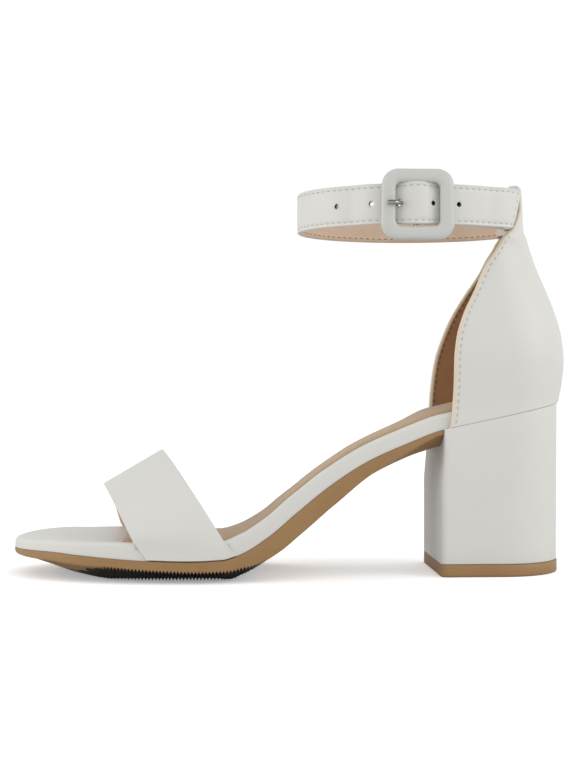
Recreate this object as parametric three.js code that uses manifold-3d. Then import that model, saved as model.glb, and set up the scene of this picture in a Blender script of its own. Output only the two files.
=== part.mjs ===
// Block heel sandal, left shoe. Millimetres, +Z up, toe towards -X, outer side of the foot towards -Y.
// The origin is on the floor, under the middle of the heel.
import * as THREE from 'three';
import { mergeVertices } from 'three/addons/utils/BufferGeometryUtils.js';
import Module from 'manifold-3d';

const wasm = await Module();
wasm.setup();

// Driving sizes
const heelCentreToToe = 197.7;
const heelCentreToBack = 23.4;
const heelCentreToBreast = 24.7;
const ballWidth = 79.5;
const heelSeatWidth = 47.4;
const heelSeatHeight = 64.2;
const heelSeatSlope = 0.2113;
const toeSpring = 2.8;
const innerSideDrop = 4.2;
const clearance = 0.3;

// Sole
const boardThickness = 6.2;
const boardEdgeRadius = 1.7;
const outsoleThickness = 8.5;
const outsoleLip = 0.5;
const outsoleEdgeRadius = 1.4;
const outsoleCrownWidth = 13;
const sockThickness = 1.3;
const heelPadThickness = 1.6;
const sockMargin = 2.2;
const sockToeSetback = 45.7;

// Toe band
const bandWall = 1.8;
const bandFrontHeight = 20.3;
const bandBackHeight = 34.4;
const bandOuterFrontSetback = 50.3;
const bandInnerFrontSetback = 40.7;
const bandOuterLength = 35.2;
const bandInnerLength = 36;
const bandFrontBow = 9.5;
const bandBackBow = 20.9;
const bandInnerCurve = 1.8;
const bandProud = 0.8;
const bandFootSlant = 4.9;

// Heel counter
const counterWall = 2;
const counterTopHeight = 94;
const foldWall = 1.2;

// Ankle strap and its loop
const strapWidth = 15.9;
const strapWall = 1.8;
const tabAboveStrap = 2.45;
const strapInnerSideDrop = 1.4;
const loopCentreSetback = 38;
const loopBackReach = 47.3;
const loopFrontReach = 43;
const loopHalfWidth = 30;
const strapTipSetback = 5.8;
const holePitch = 11.9;
const holeDiameter = 1.8;

// Buckle
const buckleSetback = 37.1;
const buckleLength = 29;
const buckleHeight = 27.5;
const buckleWindowLength = 17.4;
const buckleWindowHeight = 16.5;
const buckleDepth = 4.2;
const buckleCornerRadius = 3.9;
const barDiameter = 2;
const barSeatDepth = 1.2;
const prongDiameter = 1.7;
const prongReach = 12.1;
const prongHoleShare = 0.5095;

// Heel
const topLiftThickness = 5;
const heelTaper = 0.3;
const breastLean = 1.1;
const breastCornerRadius = 2.5;
const topLiftBevel = 0.6;

// Levels of detail
const soleSteps = 44;
const counterColumns = 26;
const bandSteps = 26;

const boardLength = heelCentreToToe + heelCentreToBack;
const halfBall = ballWidth / 2;
const halfSeat = heelSeatWidth / 2;
const treadFloor = 0;

const whiteLeather = new THREE.MeshStandardMaterial({ color: 0xe9e7e0, roughness: 0.5, metalness: 0 });
const tanRubber = new THREE.MeshStandardMaterial({ color: 0xa98a63, roughness: 0.62, metalness: 0 });
const beigeLining = new THREE.MeshStandardMaterial({ color: 0xd8bd9c, roughness: 0.7, metalness: 0 });
const polishedNickel = new THREE.MeshStandardMaterial({ color: 0xc9c8c4, roughness: 0.22, metalness: 1 });

const object = new THREE.Group();

// Adds one named piece to the shoe.
function addPiece(name, geometry, material) {
  const mesh = new THREE.Mesh(geometry, material.clone());
  mesh.name = name;
  object.add(mesh);
}

// Smooth curve through one column of a table. It never overshoots between two rows.
function columnCurve(rows, key, column) {
  const x = rows.map((row) => row[key]);
  const y = rows.map((row) => row[column]);
  const chord = x.slice(1).map((value, i) => (y[i + 1] - y[i]) / (value - x[i]));
  const slope = x.map((value, i) => {
    if (i === 0) return chord[0];
    if (i === x.length - 1) return chord[i - 1];
    const before = chord[i - 1];
    const after = chord[i];
    return before * after <= 0 ? 0 : (2 * before * after) / (before + after);
  });
  return (at) => {
    let i = 0;
    while (i < x.length - 2 && at > x[i + 1]) i += 1;
    const span = x[i + 1] - x[i];
    const t = Math.min(1, Math.max(0, (at - x[i]) / span));
    const rise = t * t * (3 - 2 * t);
    const bend = t * (1 - t);
    const tangents = bend * ((1 - t) * slope[i] - t * slope[i + 1]);
    return y[i] + (y[i + 1] - y[i]) * rise + span * tangents;
  };
}

function mix(a, b, share) {
  return a + (b - a) * share;
}

// A closed geometry from corner points and triangles. Equal corners are merged, thin triangles dropped.
function closedGeometry(points, triangles) {
  const geometry = new THREE.BufferGeometry();
  geometry.setAttribute('position', new THREE.Float32BufferAttribute(points.flat(), 3));
  geometry.setIndex(triangles.flat());
  const merged = mergeVertices(geometry, 1e-3);
  const index = Array.from(merged.index.array);
  const kept = [];
  for (let i = 0; i < index.length; i += 3) {
    const [a, b, c] = index.slice(i, i + 3);
    if (a !== b && b !== c && c !== a) kept.push(a, b, c);
  }
  merged.setIndex(kept);
  return merged;
}

// Triangles of the strip between two closed loops of corners, which start at near and at far.
function stripBetween(near, far, count) {
  const strip = [];
  for (let i = 0; i < count; i += 1) {
    const j = (i + 1) % count;
    strip.push([near + i, near + j, far + j], [near + i, far + j, far + i]);
  }
  return strip;
}

// Joins closed loops of equal length into one skin. Each loop is a list of points.
// A cap at each end is a strip across the loop: pairs(i) gives the two corners of its rung i.
function loopSkin(loops, pairs) {
  const count = loops[0].length;
  const points = loops.flat();
  const triangles = [];
  for (let k = 0; k + 1 < loops.length; k += 1) {
    triangles.push(...stripBetween(k * count, (k + 1) * count, count));
  }
  const last = (loops.length - 1) * count;
  for (let r = 0; r + 1 < pairs.length; r += 1) {
    const [a, b] = pairs[r];
    const [c, d] = pairs[r + 1];
    triangles.push([a, b, d], [a, d, c]);
    triangles.push([last + a, last + d, last + b], [last + a, last + c, last + d]);
  }
  return closedGeometry(points, triangles);
}

// A wall with an outer and an inner face. Both are grids with the same rows and columns.
function wallSkin(outer, inner) {
  const rows = outer.length;
  const columns = outer[0].length;
  const points = outer.flat().concat(inner.flat());
  const back = rows * columns;
  const triangles = [];
  const at = (r, c) => r * columns + c;
  for (let r = 0; r + 1 < rows; r += 1) {
    for (let c = 0; c + 1 < columns; c += 1) {
      const [p, q, s, t] = [at(r, c), at(r, c + 1), at(r + 1, c + 1), at(r + 1, c)];
      triangles.push([p, q, s], [p, s, t]);
      triangles.push([back + p, back + s, back + q], [back + p, back + t, back + s]);
    }
  }
  const edge = (p, q) => triangles.push([p, back + p, back + q], [p, back + q, q]);
  for (let c = 0; c + 1 < columns; c += 1) {
    edge(at(0, c), at(0, c + 1));
    edge(at(rows - 1, c + 1), at(rows - 1, c));
  }
  for (let r = 0; r + 1 < rows; r += 1) {
    edge(at(r + 1, 0), at(r, 0));
    edge(at(r, columns - 1), at(r + 1, columns - 1));
  }
  return closedGeometry(points, triangles);
}

// A skin swept through sections of equal length, with a fan over each end.
function sweptSkin(sections) {
  const count = sections[0].length;
  const points = sections.flat();
  const triangles = [];
  for (let k = 0; k + 1 < sections.length; k += 1) {
    triangles.push(...stripBetween(k * count, (k + 1) * count, count));
  }
  const last = (sections.length - 1) * count;
  for (let i = 1; i + 1 < count; i += 1) {
    triangles.push([0, i + 1, i]);
    triangles.push([last, last + i, last + i + 1]);
  }
  return closedGeometry(points, triangles);
}

// Turns a geometry whose faces point in, so that they point out.
function facingOut(geometry) {
  const p = geometry.attributes.position;
  const index = Array.from(geometry.index.array);
  let volume = 0;
  const corner = (i) => new THREE.Vector3().fromBufferAttribute(p, i);
  for (let i = 0; i < index.length; i += 3) {
    volume += corner(index[i]).dot(corner(index[i + 1]).cross(corner(index[i + 2])));
  }
  if (volume < 0) {
    for (let i = 0; i < index.length; i += 3) {
      [index[i + 1], index[i + 2]] = [index[i + 2], index[i + 1]];
    }
    geometry.setIndex(index);
  }
  return geometry;
}

// A solid for joining and cutting, and back again.
function solidOf(source) {
  const bare = source.clone();
  bare.deleteAttribute('normal');
  bare.deleteAttribute('uv');
  const merged = facingOut(mergeVertices(bare, 1e-4));
  return new wasm.Manifold(new wasm.Mesh({
    numProp: 3,
    vertProperties: new Float32Array(merged.attributes.position.array),
    triVerts: new Uint32Array(merged.index.array),
  }));
}

function geometryOf(solid) {
  const mesh = solid.getMesh();
  const geometry = new THREE.BufferGeometry();
  geometry.setAttribute('position', new THREE.BufferAttribute(mesh.vertProperties, 3));
  geometry.setIndex(new THREE.BufferAttribute(mesh.triVerts, 1));
  return geometry;
}

// Plan of the insole board. along: share of the board's length from the toe tip.
// outer, inner: half widths on the two sides of the middle line, as shares of half the ball width.
const planRows = [
  { along: 0.000, outer: -0.170, inner: 0.170 },
  { along: 0.035, outer: 0.430, inner: 0.610 },
  { along: 0.071, outer: 0.640, inner: 0.760 },
  { along: 0.125, outer: 0.820, inner: 0.880 },
  { along: 0.193, outer: 0.945, inner: 0.950 },
  { along: 0.260, outer: 1.010, inner: 0.955 },
  { along: 0.328, outer: 1.035, inner: 0.910 },
  { along: 0.382, outer: 1.015, inner: 0.835 },
  { along: 0.418, outer: 0.965, inner: 0.750 },
  { along: 0.463, outer: 0.895, inner: 0.655 },
  { along: 0.513, outer: 0.810, inner: 0.580 },
  { along: 0.576, outer: 0.735, inner: 0.535 },
  { along: 0.644, outer: 0.675, inner: 0.530 },
  { along: 0.721, outer: 0.635, inner: 0.560 },
];

// Profile of the sole. rise: share of the way from the ball up to the heel seat. spring: share of the
// toe spring. board: share of the board's thickness. edge, core: shares of the outsole's thickness at
// its side and along its middle. pad: share of the heel pad's thickness. cant: share of the drop from
// the outer to the inner side of the footbed.
const profileRows = [
  { along: 0.000, rise: 0.000, spring: 0.75, board: 0.56, edge: 0.24, core: 0.36, pad: 0.00, cant: 0.00 },
  { along: 0.035, rise: 0.000, spring: 0.95, board: 0.64, edge: 0.35, core: 0.55, pad: 0.00, cant: 0.05 },
  { along: 0.071, rise: 0.000, spring: 1.00, board: 0.71, edge: 0.39, core: 0.74, pad: 0.00, cant: 0.10 },
  { along: 0.125, rise: 0.000, spring: 0.75, board: 0.80, edge: 0.43, core: 0.97, pad: 0.00, cant: 0.15 },
  { along: 0.193, rise: 0.000, spring: 0.38, board: 1.00, edge: 0.47, core: 1.12, pad: 0.00, cant: 0.25 },
  { along: 0.260, rise: 0.000, spring: 0.10, board: 1.12, edge: 0.50, core: 1.12, pad: 0.00, cant: 0.40 },
  { along: 0.328, rise: 0.000, spring: 0.00, board: 1.17, edge: 0.54, core: 1.12, pad: 0.00, cant: 0.58 },
  { along: 0.382, rise: 0.008, spring: 0.00, board: 1.18, edge: 0.58, core: 1.10, pad: 0.00, cant: 0.75 },
  { along: 0.418, rise: 0.054, spring: 0.00, board: 1.15, edge: 0.67, core: 0.99, pad: 0.05, cant: 0.88 },
  { along: 0.463, rise: 0.160, spring: 0.00, board: 1.09, edge: 0.79, core: 0.90, pad: 0.10, cant: 0.98 },
  { along: 0.513, rise: 0.320, spring: 0.00, board: 1.06, edge: 0.88, core: 0.92, pad: 0.20, cant: 1.00 },
  { along: 0.576, rise: 0.515, spring: 0.00, board: 1.03, edge: 0.85, core: 0.88, pad: 0.30, cant: 0.85 },
  { along: 0.644, rise: 0.683, spring: 0.00, board: 1.01, edge: 0.63, core: 0.70, pad: 0.36, cant: 0.64 },
  { along: 0.721, rise: 0.817, spring: 0.00, board: 1.01, edge: 0.38, core: 0.66, pad: 0.36, cant: 0.44 },
];

// Over the heel seat the board is straight, and its plan ends in a half ellipse round the heel's middle.
const toeX = -heelCentreToToe;
const alongOf = (x) => (x - toeX) / boardLength;
const xOf = (along) => toeX + along * boardLength;
const heelFront = -heelCentreToBreast;
const outsoleEnd = heelFront - clearance;
const seatStart = outsoleEnd - clearance;
const seatRows = [
  { x: seatStart, pad: 0.4 },
  { x: 0, pad: 1 },
];

const ballBoardHeight = outsoleThickness + clearance;
const seatRise = heelSeatHeight - ballBoardHeight;

// Height of the straight line that the heel seat lies on.
function seatLine(x) {
  return heelSeatHeight + heelSeatSlope * x;
}

for (const row of seatRows) {
  const along = alongOf(row.x);
  planRows.push({ along, outer: halfSeat / halfBall, inner: halfSeat / halfBall });
  const rise = (seatLine(row.x) - ballBoardHeight) / seatRise;
  profileRows.push({ along, rise, spring: 0, board: 0.98, edge: 0.20, core: 0.80, pad: row.pad, cant: 0 });
}

// One curve for each column of a table but the one that the rows are ordered by.
function curvesOf(rows, key) {
  const names = Object.keys(rows[0]).filter((name) => name !== key);
  return Object.fromEntries(names.map((name) => [name, columnCurve(rows, key, name)]));
}

const profile = curvesOf(profileRows, 'along');

// Half widths follow a turn that runs evenly through the round toe and the round heel.
const turnOf = (along) => Math.acos(1 - 2 * along) / Math.PI;
const alongTurn = (turn) => (1 - Math.cos(Math.PI * turn)) / 2;
const plan = curvesOf(planRows.map((row) => ({
  turn: turnOf(row.along),
  outer: row.outer,
  inner: row.inner,
})), 'turn');

// Outline of the board at x: its two half widths.
function planAt(x) {
  if (x > 0) {
    const half = halfSeat * Math.sqrt(Math.max(0, 1 - (x / heelCentreToBack) ** 2));
    return { outer: half, inner: half };
  }
  const turn = turnOf(Math.min(1, Math.max(0, alongOf(x))));
  return { outer: plan.outer(turn) * halfBall, inner: plan.inner(turn) * halfBall };
}

// Underside of the board along its outer side.
function outerSeat(x) {
  if (x >= seatStart) return seatLine(x);
  const along = alongOf(x);
  return ballBoardHeight + profile.rise(along) * seatRise + profile.spring(along) * toeSpring;
}

// Underside of the board. It falls a little from the outer to the inner side.
function boardBottom(x, y) {
  const half = planAt(x);
  const across = Math.min(1, Math.max(0, (y + half.outer) / (half.outer + half.inner + clearance)));
  return outerSeat(x) - profile.cant(alongOf(x)) * innerSideDrop * across;
}

// How much longer an upright cut through the sloping sole is than its thickness.
function slopeFactor(x) {
  const step = 2;
  const slope = (outerSeat(x + step) - outerSeat(x - step)) / (2 * step);
  return Math.sqrt(1 + slope * slope);
}

function boardTop(x, y) {
  return boardBottom(x, y) + profile.board(alongOf(x)) * boardThickness * slopeFactor(x);
}

function outsoleTop(x, y) {
  return boardBottom(x, y) - clearance;
}

function outsoleSide(x, y) {
  const thickness = profile.edge(alongOf(x)) * outsoleThickness * slopeFactor(x);
  return Math.max(treadFloor + outsoleEdgeRadius, outsoleTop(x, y) - thickness);
}

function outsoleMiddle(x, y) {
  const thickness = profile.core(alongOf(x)) * outsoleThickness * slopeFactor(x);
  return Math.max(treadFloor, outsoleTop(x, y) - thickness);
}

// Places along the sole where every layer has a section, closer together at the round ends.
const stations = [];
for (let i = 0; i <= soleSteps; i += 1) stations.push(xOf(alongTurn(i / soleSteps)));

// Pairs of outline points from one place to another along the sole, outer side and inner side.
function outlinePairs(fromX, toX, grow) {
  const between = stations.filter((x) => x > fromX + 1 && x < toX - 1);
  const pairs = [fromX, ...between, toX].map((x) => {
    const half = planAt(x);
    return { outer: [x, -half.outer], inner: [x, half.inner] };
  });
  return grow === 0 ? pairs : insetPairs(pairs, -grow);
}

// Moves every outline point in along its own normal. Cut ends keep their x.
function insetPairs(pairs, inset) {
  const last = pairs.length - 1;
  const isRound = (pair) => Math.abs(pair.outer[1] - pair.inner[1]) < outsoleLip * 2 + 1;
  const roundStart = isRound(pairs[0]);
  const roundEnd = isRound(pairs[last]);
  const moved = (side, other, sign, i) => {
    const here = pairs[i][side];
    let before = i === 0 ? here : pairs[i - 1][side];
    let after = i === last ? here : pairs[i + 1][side];
    if (i === 0 && roundStart) before = pairs[1][other];
    if (i === last && roundEnd) after = pairs[last - 1][other];
    const tangent = new THREE.Vector2(after[0] - before[0], after[1] - before[1]).normalize();
    const cutEnd = (i === 0 && !roundStart) || (i === last && !roundEnd);
    const normal = cutEnd ? [0, 1] : [-tangent.y, tangent.x];
    return [here[0] + sign * normal[0] * inset, here[1] + sign * normal[1] * inset];
  };
  return pairs.map((pair, i) => ({
    outer: moved('outer', 'inner', 1, i),
    inner: moved('inner', 'outer', -1, i),
  }));
}

// A layer of the sole: each ring has an inset from the outline and a height for every x.
function soleLayer(pairs, rings) {
  const count = pairs.length;
  const loops = rings.map((ring) => {
    const moved = ring.inset === 0 ? pairs : insetPairs(pairs, ring.inset);
    const point = ([x, y]) => [x, y, ring.height(x, y)];
    const outer = moved.map((pair) => point(pair.outer));
    const inner = moved.map((pair) => point(pair.inner));
    return outer.concat(inner.reverse());
  });
  const rungs = pairs.map((pair, i) => [i, 2 * count - 1 - i]);
  return facingOut(loopSkin(loops, rungs));
}

const boardPairs = outlinePairs(toeX, heelCentreToBack, 0);
const boardSolid = solidOf(soleLayer(boardPairs, [
  { inset: boardEdgeRadius, height: boardBottom },
  { inset: boardEdgeRadius * 0.3, height: (x, y) => boardBottom(x, y) + boardEdgeRadius * 0.3 },
  { inset: 0, height: (x, y) => boardBottom(x, y) + boardEdgeRadius },
  { inset: 0, height: (x, y) => boardTop(x, y) - boardEdgeRadius },
  { inset: boardEdgeRadius * 0.3, height: (x, y) => boardTop(x, y) - boardEdgeRadius * 0.3 },
  { inset: boardEdgeRadius, height: boardTop },
]));

// Toe band. Its two ends stand on the outsole outside the board's rim.
// angle runs from the outer foot, over the top, to the inner foot.
const bandOuterFront = toeX + bandOuterFrontSetback;
const bandInnerFront = toeX + bandInnerFrontSetback;
const bandOuterBack = bandOuterFront + bandOuterLength;
const bandInnerBack = bandInnerFront + bandInnerLength;
const bandBase = boardTop(mix(bandOuterFront, bandOuterBack, 0.4), -halfBall);

function bandPoint(angle, share) {
  const across = (1 - Math.cos(angle)) / 2;
  const curve = bandInnerCurve * Math.max(0, -Math.sin(2 * angle));
  const front = mix(bandOuterFront, bandInnerFront, across) - bandFrontBow * Math.sin(angle) + curve;
  const back = mix(bandOuterBack, bandInnerBack, across) - bandBackBow * Math.sin(angle);
  const footX = (side) => (side === 'outer'
    ? mix(bandOuterFront, bandOuterBack, share)
    : mix(bandInnerFront, bandInnerBack, share));
  const outerHalf = planAt(footX('outer')).outer + bandProud;
  const innerHalf = planAt(footX('inner')).inner + bandProud;
  const height = mix(bandFrontHeight, bandBackHeight, share);
  const y = mix(-outerHalf, innerHalf, across);
  return [mix(front, back, share), y, bandBase + height * Math.sin(angle)];
}

// The foot runs straight down over the rim, a little backwards as the band's edge does.
function bandFootPoint(inner, share, down) {
  const [x, y] = bandPoint(inner ? Math.PI : 0, share);
  const footX = x + bandFootSlant * down;
  const half = planAt(footX);
  const footY = inner ? half.inner + bandProud : -half.outer - bandProud;
  const foot = boardBottom(footX, footY) + clearance;
  return [footX, mix(y, footY, down), mix(bandBase, foot, down)];
}

// Faces of the band at some offsets from its outer one. spread: how much wider and longer they are.
function bandGrid(offsets, spread) {
  const shares = [0, 0.2, 0.4, 0.6, 0.8, 1];
  const footEnd = 1 + spread / bandWall;
  const rows = [];
  for (const down of [footEnd, 0.5]) rows.push(shares.map((share) => bandFootPoint(false, share, down)));
  for (let i = 0; i <= bandSteps; i += 1) {
    const angle = (Math.PI * i) / bandSteps;
    rows.push(shares.map((share) => bandPoint(angle, share)));
  }
  for (const down of [0.5, footEnd]) rows.push(shares.map((share) => bandFootPoint(true, share, down)));
  return offsets.map((offset) => rows.map((row, r) => row.map((point, c) => {
    const here = new THREE.Vector3(...point);
    const alongBand = new THREE.Vector3(...rows[Math.min(r + 1, rows.length - 1)][c])
      .sub(new THREE.Vector3(...rows[Math.max(r - 1, 0)][c]));
    const acrossBand = new THREE.Vector3(...row[Math.min(c + 1, row.length - 1)])
      .sub(new THREE.Vector3(...row[Math.max(c - 1, 0)]));
    const normal = acrossBand.clone().cross(alongBand).normalize();
    const moved = here.addScaledVector(normal, offset);
    if (c === 0) moved.addScaledVector(acrossBand.normalize(), -spread);
    if (c === row.length - 1) moved.addScaledVector(acrossBand.normalize(), spread);
    const isFoot = r === 0 || r === rows.length - 1;
    if (isFoot && spread === 0) moved.z = boardBottom(moved.x, moved.y) + clearance;
    return [moved.x, moved.y, moved.z];
  })));
}

const [bandOuterFace, bandInnerFace] = bandGrid([0, -bandWall], 0);
const bandGeometry = facingOut(wallSkin(bandOuterFace, bandInnerFace));
const bandRoomOffsets = [clearance * 4, -bandWall - clearance * 1.6];
const [bandRoomOuter, bandRoomInner] = bandGrid(bandRoomOffsets, clearance * 2);
const bandRoom = solidOf(facingOut(wallSkin(bandRoomOuter, bandRoomInner)));

addPiece('insole_platform', geometryOf(boardSolid.subtract(bandRoom)), whiteLeather);
addPiece('vamp_strap', bandGeometry, whiteLeather);

// Outsole: a thick ball with a flat tread, a thinner waist, cut off at the heel's breast.
const outsolePairs = outlinePairs(toeX, outsoleEnd, outsoleLip);
addPiece('outsole', soleLayer(outsolePairs, [
  { inset: 0, height: outsoleTop },
  { inset: 0, height: (x, y) => mix(outsoleTop(x, y), outsoleSide(x, y), 0.62) },
  { inset: outsoleEdgeRadius * 0.3, height: (x, y) => mix(outsoleTop(x, y), outsoleSide(x, y), 0.9) },
  { inset: outsoleEdgeRadius, height: outsoleSide },
  { inset: outsoleCrownWidth * 0.5, height: (x, y) => mix(outsoleSide(x, y), outsoleMiddle(x, y), 0.72) },
  { inset: outsoleCrownWidth, height: outsoleMiddle },
]), tanRubber);

// Padded sock, from under the toe band to the back of the heel seat.
const sockPairs = insetPairs(outlinePairs(toeX + sockToeSetback, heelCentreToBack, 0), sockMargin);
const sockHeight = (x) => sockThickness + profile.pad(alongOf(x)) * heelPadThickness;
const sockAt = (share) => (x, y) => boardTop(x, y) + clearance + sockHeight(x) * share;
addPiece('sock', soleLayer(sockPairs, [
  { inset: 0, height: sockAt(0) },
  { inset: 0, height: sockAt(0.35) },
  { inset: 0.5, height: sockAt(0.6) },
  { inset: 3, height: sockAt(0.85) },
  { inset: 8, height: sockAt(1) },
]), beigeLining);

// Heel block and its top lift: straight breast, round back.
const heelHalfWidth = halfSeat + clearance + counterWall;
const heelBack = heelCentreToBack + clearance + counterWall;

// lean: share of the way that the breast stands further forward here than at the seat.
function heelOutline(shrink, lean) {
  const half = heelHalfWidth - shrink;
  const back = heelBack - shrink;
  const front = heelFront - breastLean * lean;
  const corner = breastCornerRadius;
  const outer = [[front, 0]];
  for (let i = 0; i <= 4; i += 1) {
    const angle = (Math.PI / 2) * (i / 4);
    outer.push([front + corner * (1 - Math.cos(angle)), -half + corner * (1 - Math.sin(angle))]);
  }
  for (let i = 1; i <= 2; i += 1) outer.push([mix(front + corner, 0, i / 3), -half]);
  for (let i = 0; i <= 12; i += 1) {
    const angle = (Math.PI / 2) * (i / 12);
    outer.push([back * Math.sin(angle), -half * Math.cos(angle)]);
  }
  return outer;
}

function heelSkin(rings) {
  const loops = rings.map((ring) => {
    const side = heelOutline(ring.shrink, ring.lean).map(([x, y]) => [x, y, ring.height(x)]);
    const mirror = side.map(([x, y, z]) => [x, -y, z]).reverse();
    return side.concat(mirror);
  });
  const count = loops[0].length;
  const rungs = heelOutline(0, 0).map((point, i) => [i, count - 1 - i]);
  return facingOut(loopSkin(loops, rungs));
}

const heelBottom = topLiftThickness + clearance;
addPiece('heel_block', heelSkin([
  { shrink: heelTaper, lean: 1, height: () => heelBottom },
  { shrink: heelTaper * 0.3, lean: 1, height: (x) => mix(heelBottom, seatLine(x), 0.6) },
  { shrink: heelTaper * 0.1, lean: 0, height: (x) => mix(heelBottom, seatLine(x), 0.84) },
  { shrink: 0, lean: 0, height: (x) => seatLine(x) - clearance },
]), whiteLeather);
addPiece('top_lift', heelSkin([
  { shrink: heelTaper + topLiftBevel, lean: 1, height: () => 0 },
  { shrink: heelTaper, lean: 1, height: () => topLiftBevel },
  { shrink: heelTaper, lean: 1, height: () => topLiftThickness },
]), tanRubber);

// Ankle strap. The loop is two half ellipses; turn is in degrees from the back, positive on the inner side.
const layerStep = strapWall + clearance;
const overTabLift = layerStep + foldWall + clearance * 3;

function loopPoint(turn, lift) {
  const angle = THREE.MathUtils.degToRad(turn);
  const reach = Math.cos(angle) > 0 ? loopBackReach : loopFrontReach;
  const x = -loopCentreSetback + reach * Math.cos(angle);
  const y = loopHalfWidth * Math.sin(angle);
  const normal = new THREE.Vector2(Math.cos(angle) / reach, Math.sin(angle) / loopHalfWidth).normalize();
  return [x + normal.x * lift, y + normal.y * lift];
}

// Turn of the outer side at which the loop passes a given x.
function turnAtX(x) {
  const reach = x > -loopCentreSetback ? loopBackReach : loopFrontReach;
  return THREE.MathUtils.radToDeg(Math.acos((x + loopCentreSetback) / reach));
}

const buckleCentreX = -buckleSetback;
const strapMiddleHeight = heelSeatHeight + counterTopHeight - tabAboveStrap - strapWidth / 2;
const frameMember = (buckleLength - buckleWindowLength) / 2;
const frameBackLift = strapWall * 0.75 + clearance * 3;
const frameMiddleY = -loopHalfWidth - frameBackLift - buckleDepth / 2;
const barY = frameMiddleY + barDiameter / 2;
const barLift = -barY - loopHalfWidth;
const overBarLift = barLift + barDiameter / 2 + clearance + strapWall / 2;
const underFrameLift = frameBackLift - clearance;
const sideBarTurn = (side) => turnAtX(buckleCentreX + side * (buckleLength - frameMember) / 2);

// turn: degrees round the loop. lift: distance outward from the inner layer.
// low, high: shares of the strap's half width below and above its middle.
const tipTurn = 360 - turnAtX(-loopCentreSetback + loopBackReach - strapTipSetback);
const strapRows = [
  { turn: -turnAtX(buckleCentreX) - 3.4, lift: barLift, low: 1, high: 1 },
  { turn: -turnAtX(buckleCentreX) - 2.6, lift: barLift * 0.58, low: 1, high: 1 },
  { turn: -turnAtX(buckleCentreX) + 0.5, lift: barLift * 0.34, low: 1, high: 1 },
  { turn: -turnAtX(buckleCentreX) + 7, lift: barLift * 0.12, low: 1, high: 1 },
  { turn: -turnAtX(buckleCentreX) + 14, lift: 0, low: 1, high: 1 },
  { turn: 90, lift: 0, low: 1, high: 1 },
  { turn: 235, lift: 0, low: 1, high: 1 },
  { turn: 360 - sideBarTurn(-1) - 6, lift: underFrameLift, low: 1, high: 1 },
  { turn: 360 - sideBarTurn(-1) + 2, lift: underFrameLift, low: 1, high: 1 },
  { turn: 360 - turnAtX(buckleCentreX), lift: overBarLift, low: 1, high: 1 },
  { turn: 360 - sideBarTurn(1) - 2, lift: layerStep, low: 1, high: 1 },
  { turn: 360 - sideBarTurn(1) + 6, lift: layerStep, low: 1, high: 1 },
  { turn: 316, lift: layerStep, low: 1, high: 1 },
  { turn: 325, lift: overTabLift, low: 1, high: 1 },
  { turn: tipTurn - 11, lift: overTabLift, low: 1, high: 1 },
  { turn: tipTurn - 7, lift: overTabLift, low: 0.86, high: 1 },
  { turn: tipTurn - 4.3, lift: overTabLift, low: 0.4, high: 1 },
  { turn: tipTurn - 1.5, lift: overTabLift, low: -0.3, high: 0.98 },
  { turn: tipTurn, lift: overTabLift, low: -0.72, high: 0.86 },
];
const strap = curvesOf(strapRows, 'turn');

function strapCentre(turn) {
  const [x, y] = loopPoint(turn, strap.lift(turn));
  const drop = (strapInnerSideDrop * (y + loopHalfWidth)) / (2 * loopHalfWidth);
  return [x, y, strapMiddleHeight - drop];
}

function strapTurns(from, to, step) {
  const turns = strapRows.map((row) => row.turn).filter((turn) => turn > from && turn < to);
  turns.push(from, to);
  const count = Math.ceil((to - from) / step);
  for (let i = 1; i < count; i += 1) turns.push(mix(from, to, i / count));
  turns.sort((a, b) => a - b);
  return turns.filter((turn, i) => i === 0 || turn - turns[i - 1] > 0.7 || turn === to);
}

// Sections of the strap between two turns, grown by a margin on its faces and on its edges.
function strapSections(from, to, step, faceMargin, edgeMargin) {
  return strapTurns(from, to, step).map((turn) => {
    const [x, y, z] = strapCentre(turn);
    const before = strapCentre(turn - 0.3);
    const after = strapCentre(turn + 0.3);
    const out = new THREE.Vector2(after[1] - before[1], before[0] - after[0]).normalize();
    const half = strapWall / 2 + faceMargin;
    const low = z - (strapWidth / 2) * strap.low(turn) - edgeMargin;
    const high = z + (strapWidth / 2) * strap.high(turn) + edgeMargin;
    return [
      [x + out.x * half, y + out.y * half, low],
      [x + out.x * half, y + out.y * half, high],
      [x - out.x * half, y - out.y * half, high],
      [x - out.x * half, y - out.y * half, low],
    ];
  });
}

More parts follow.
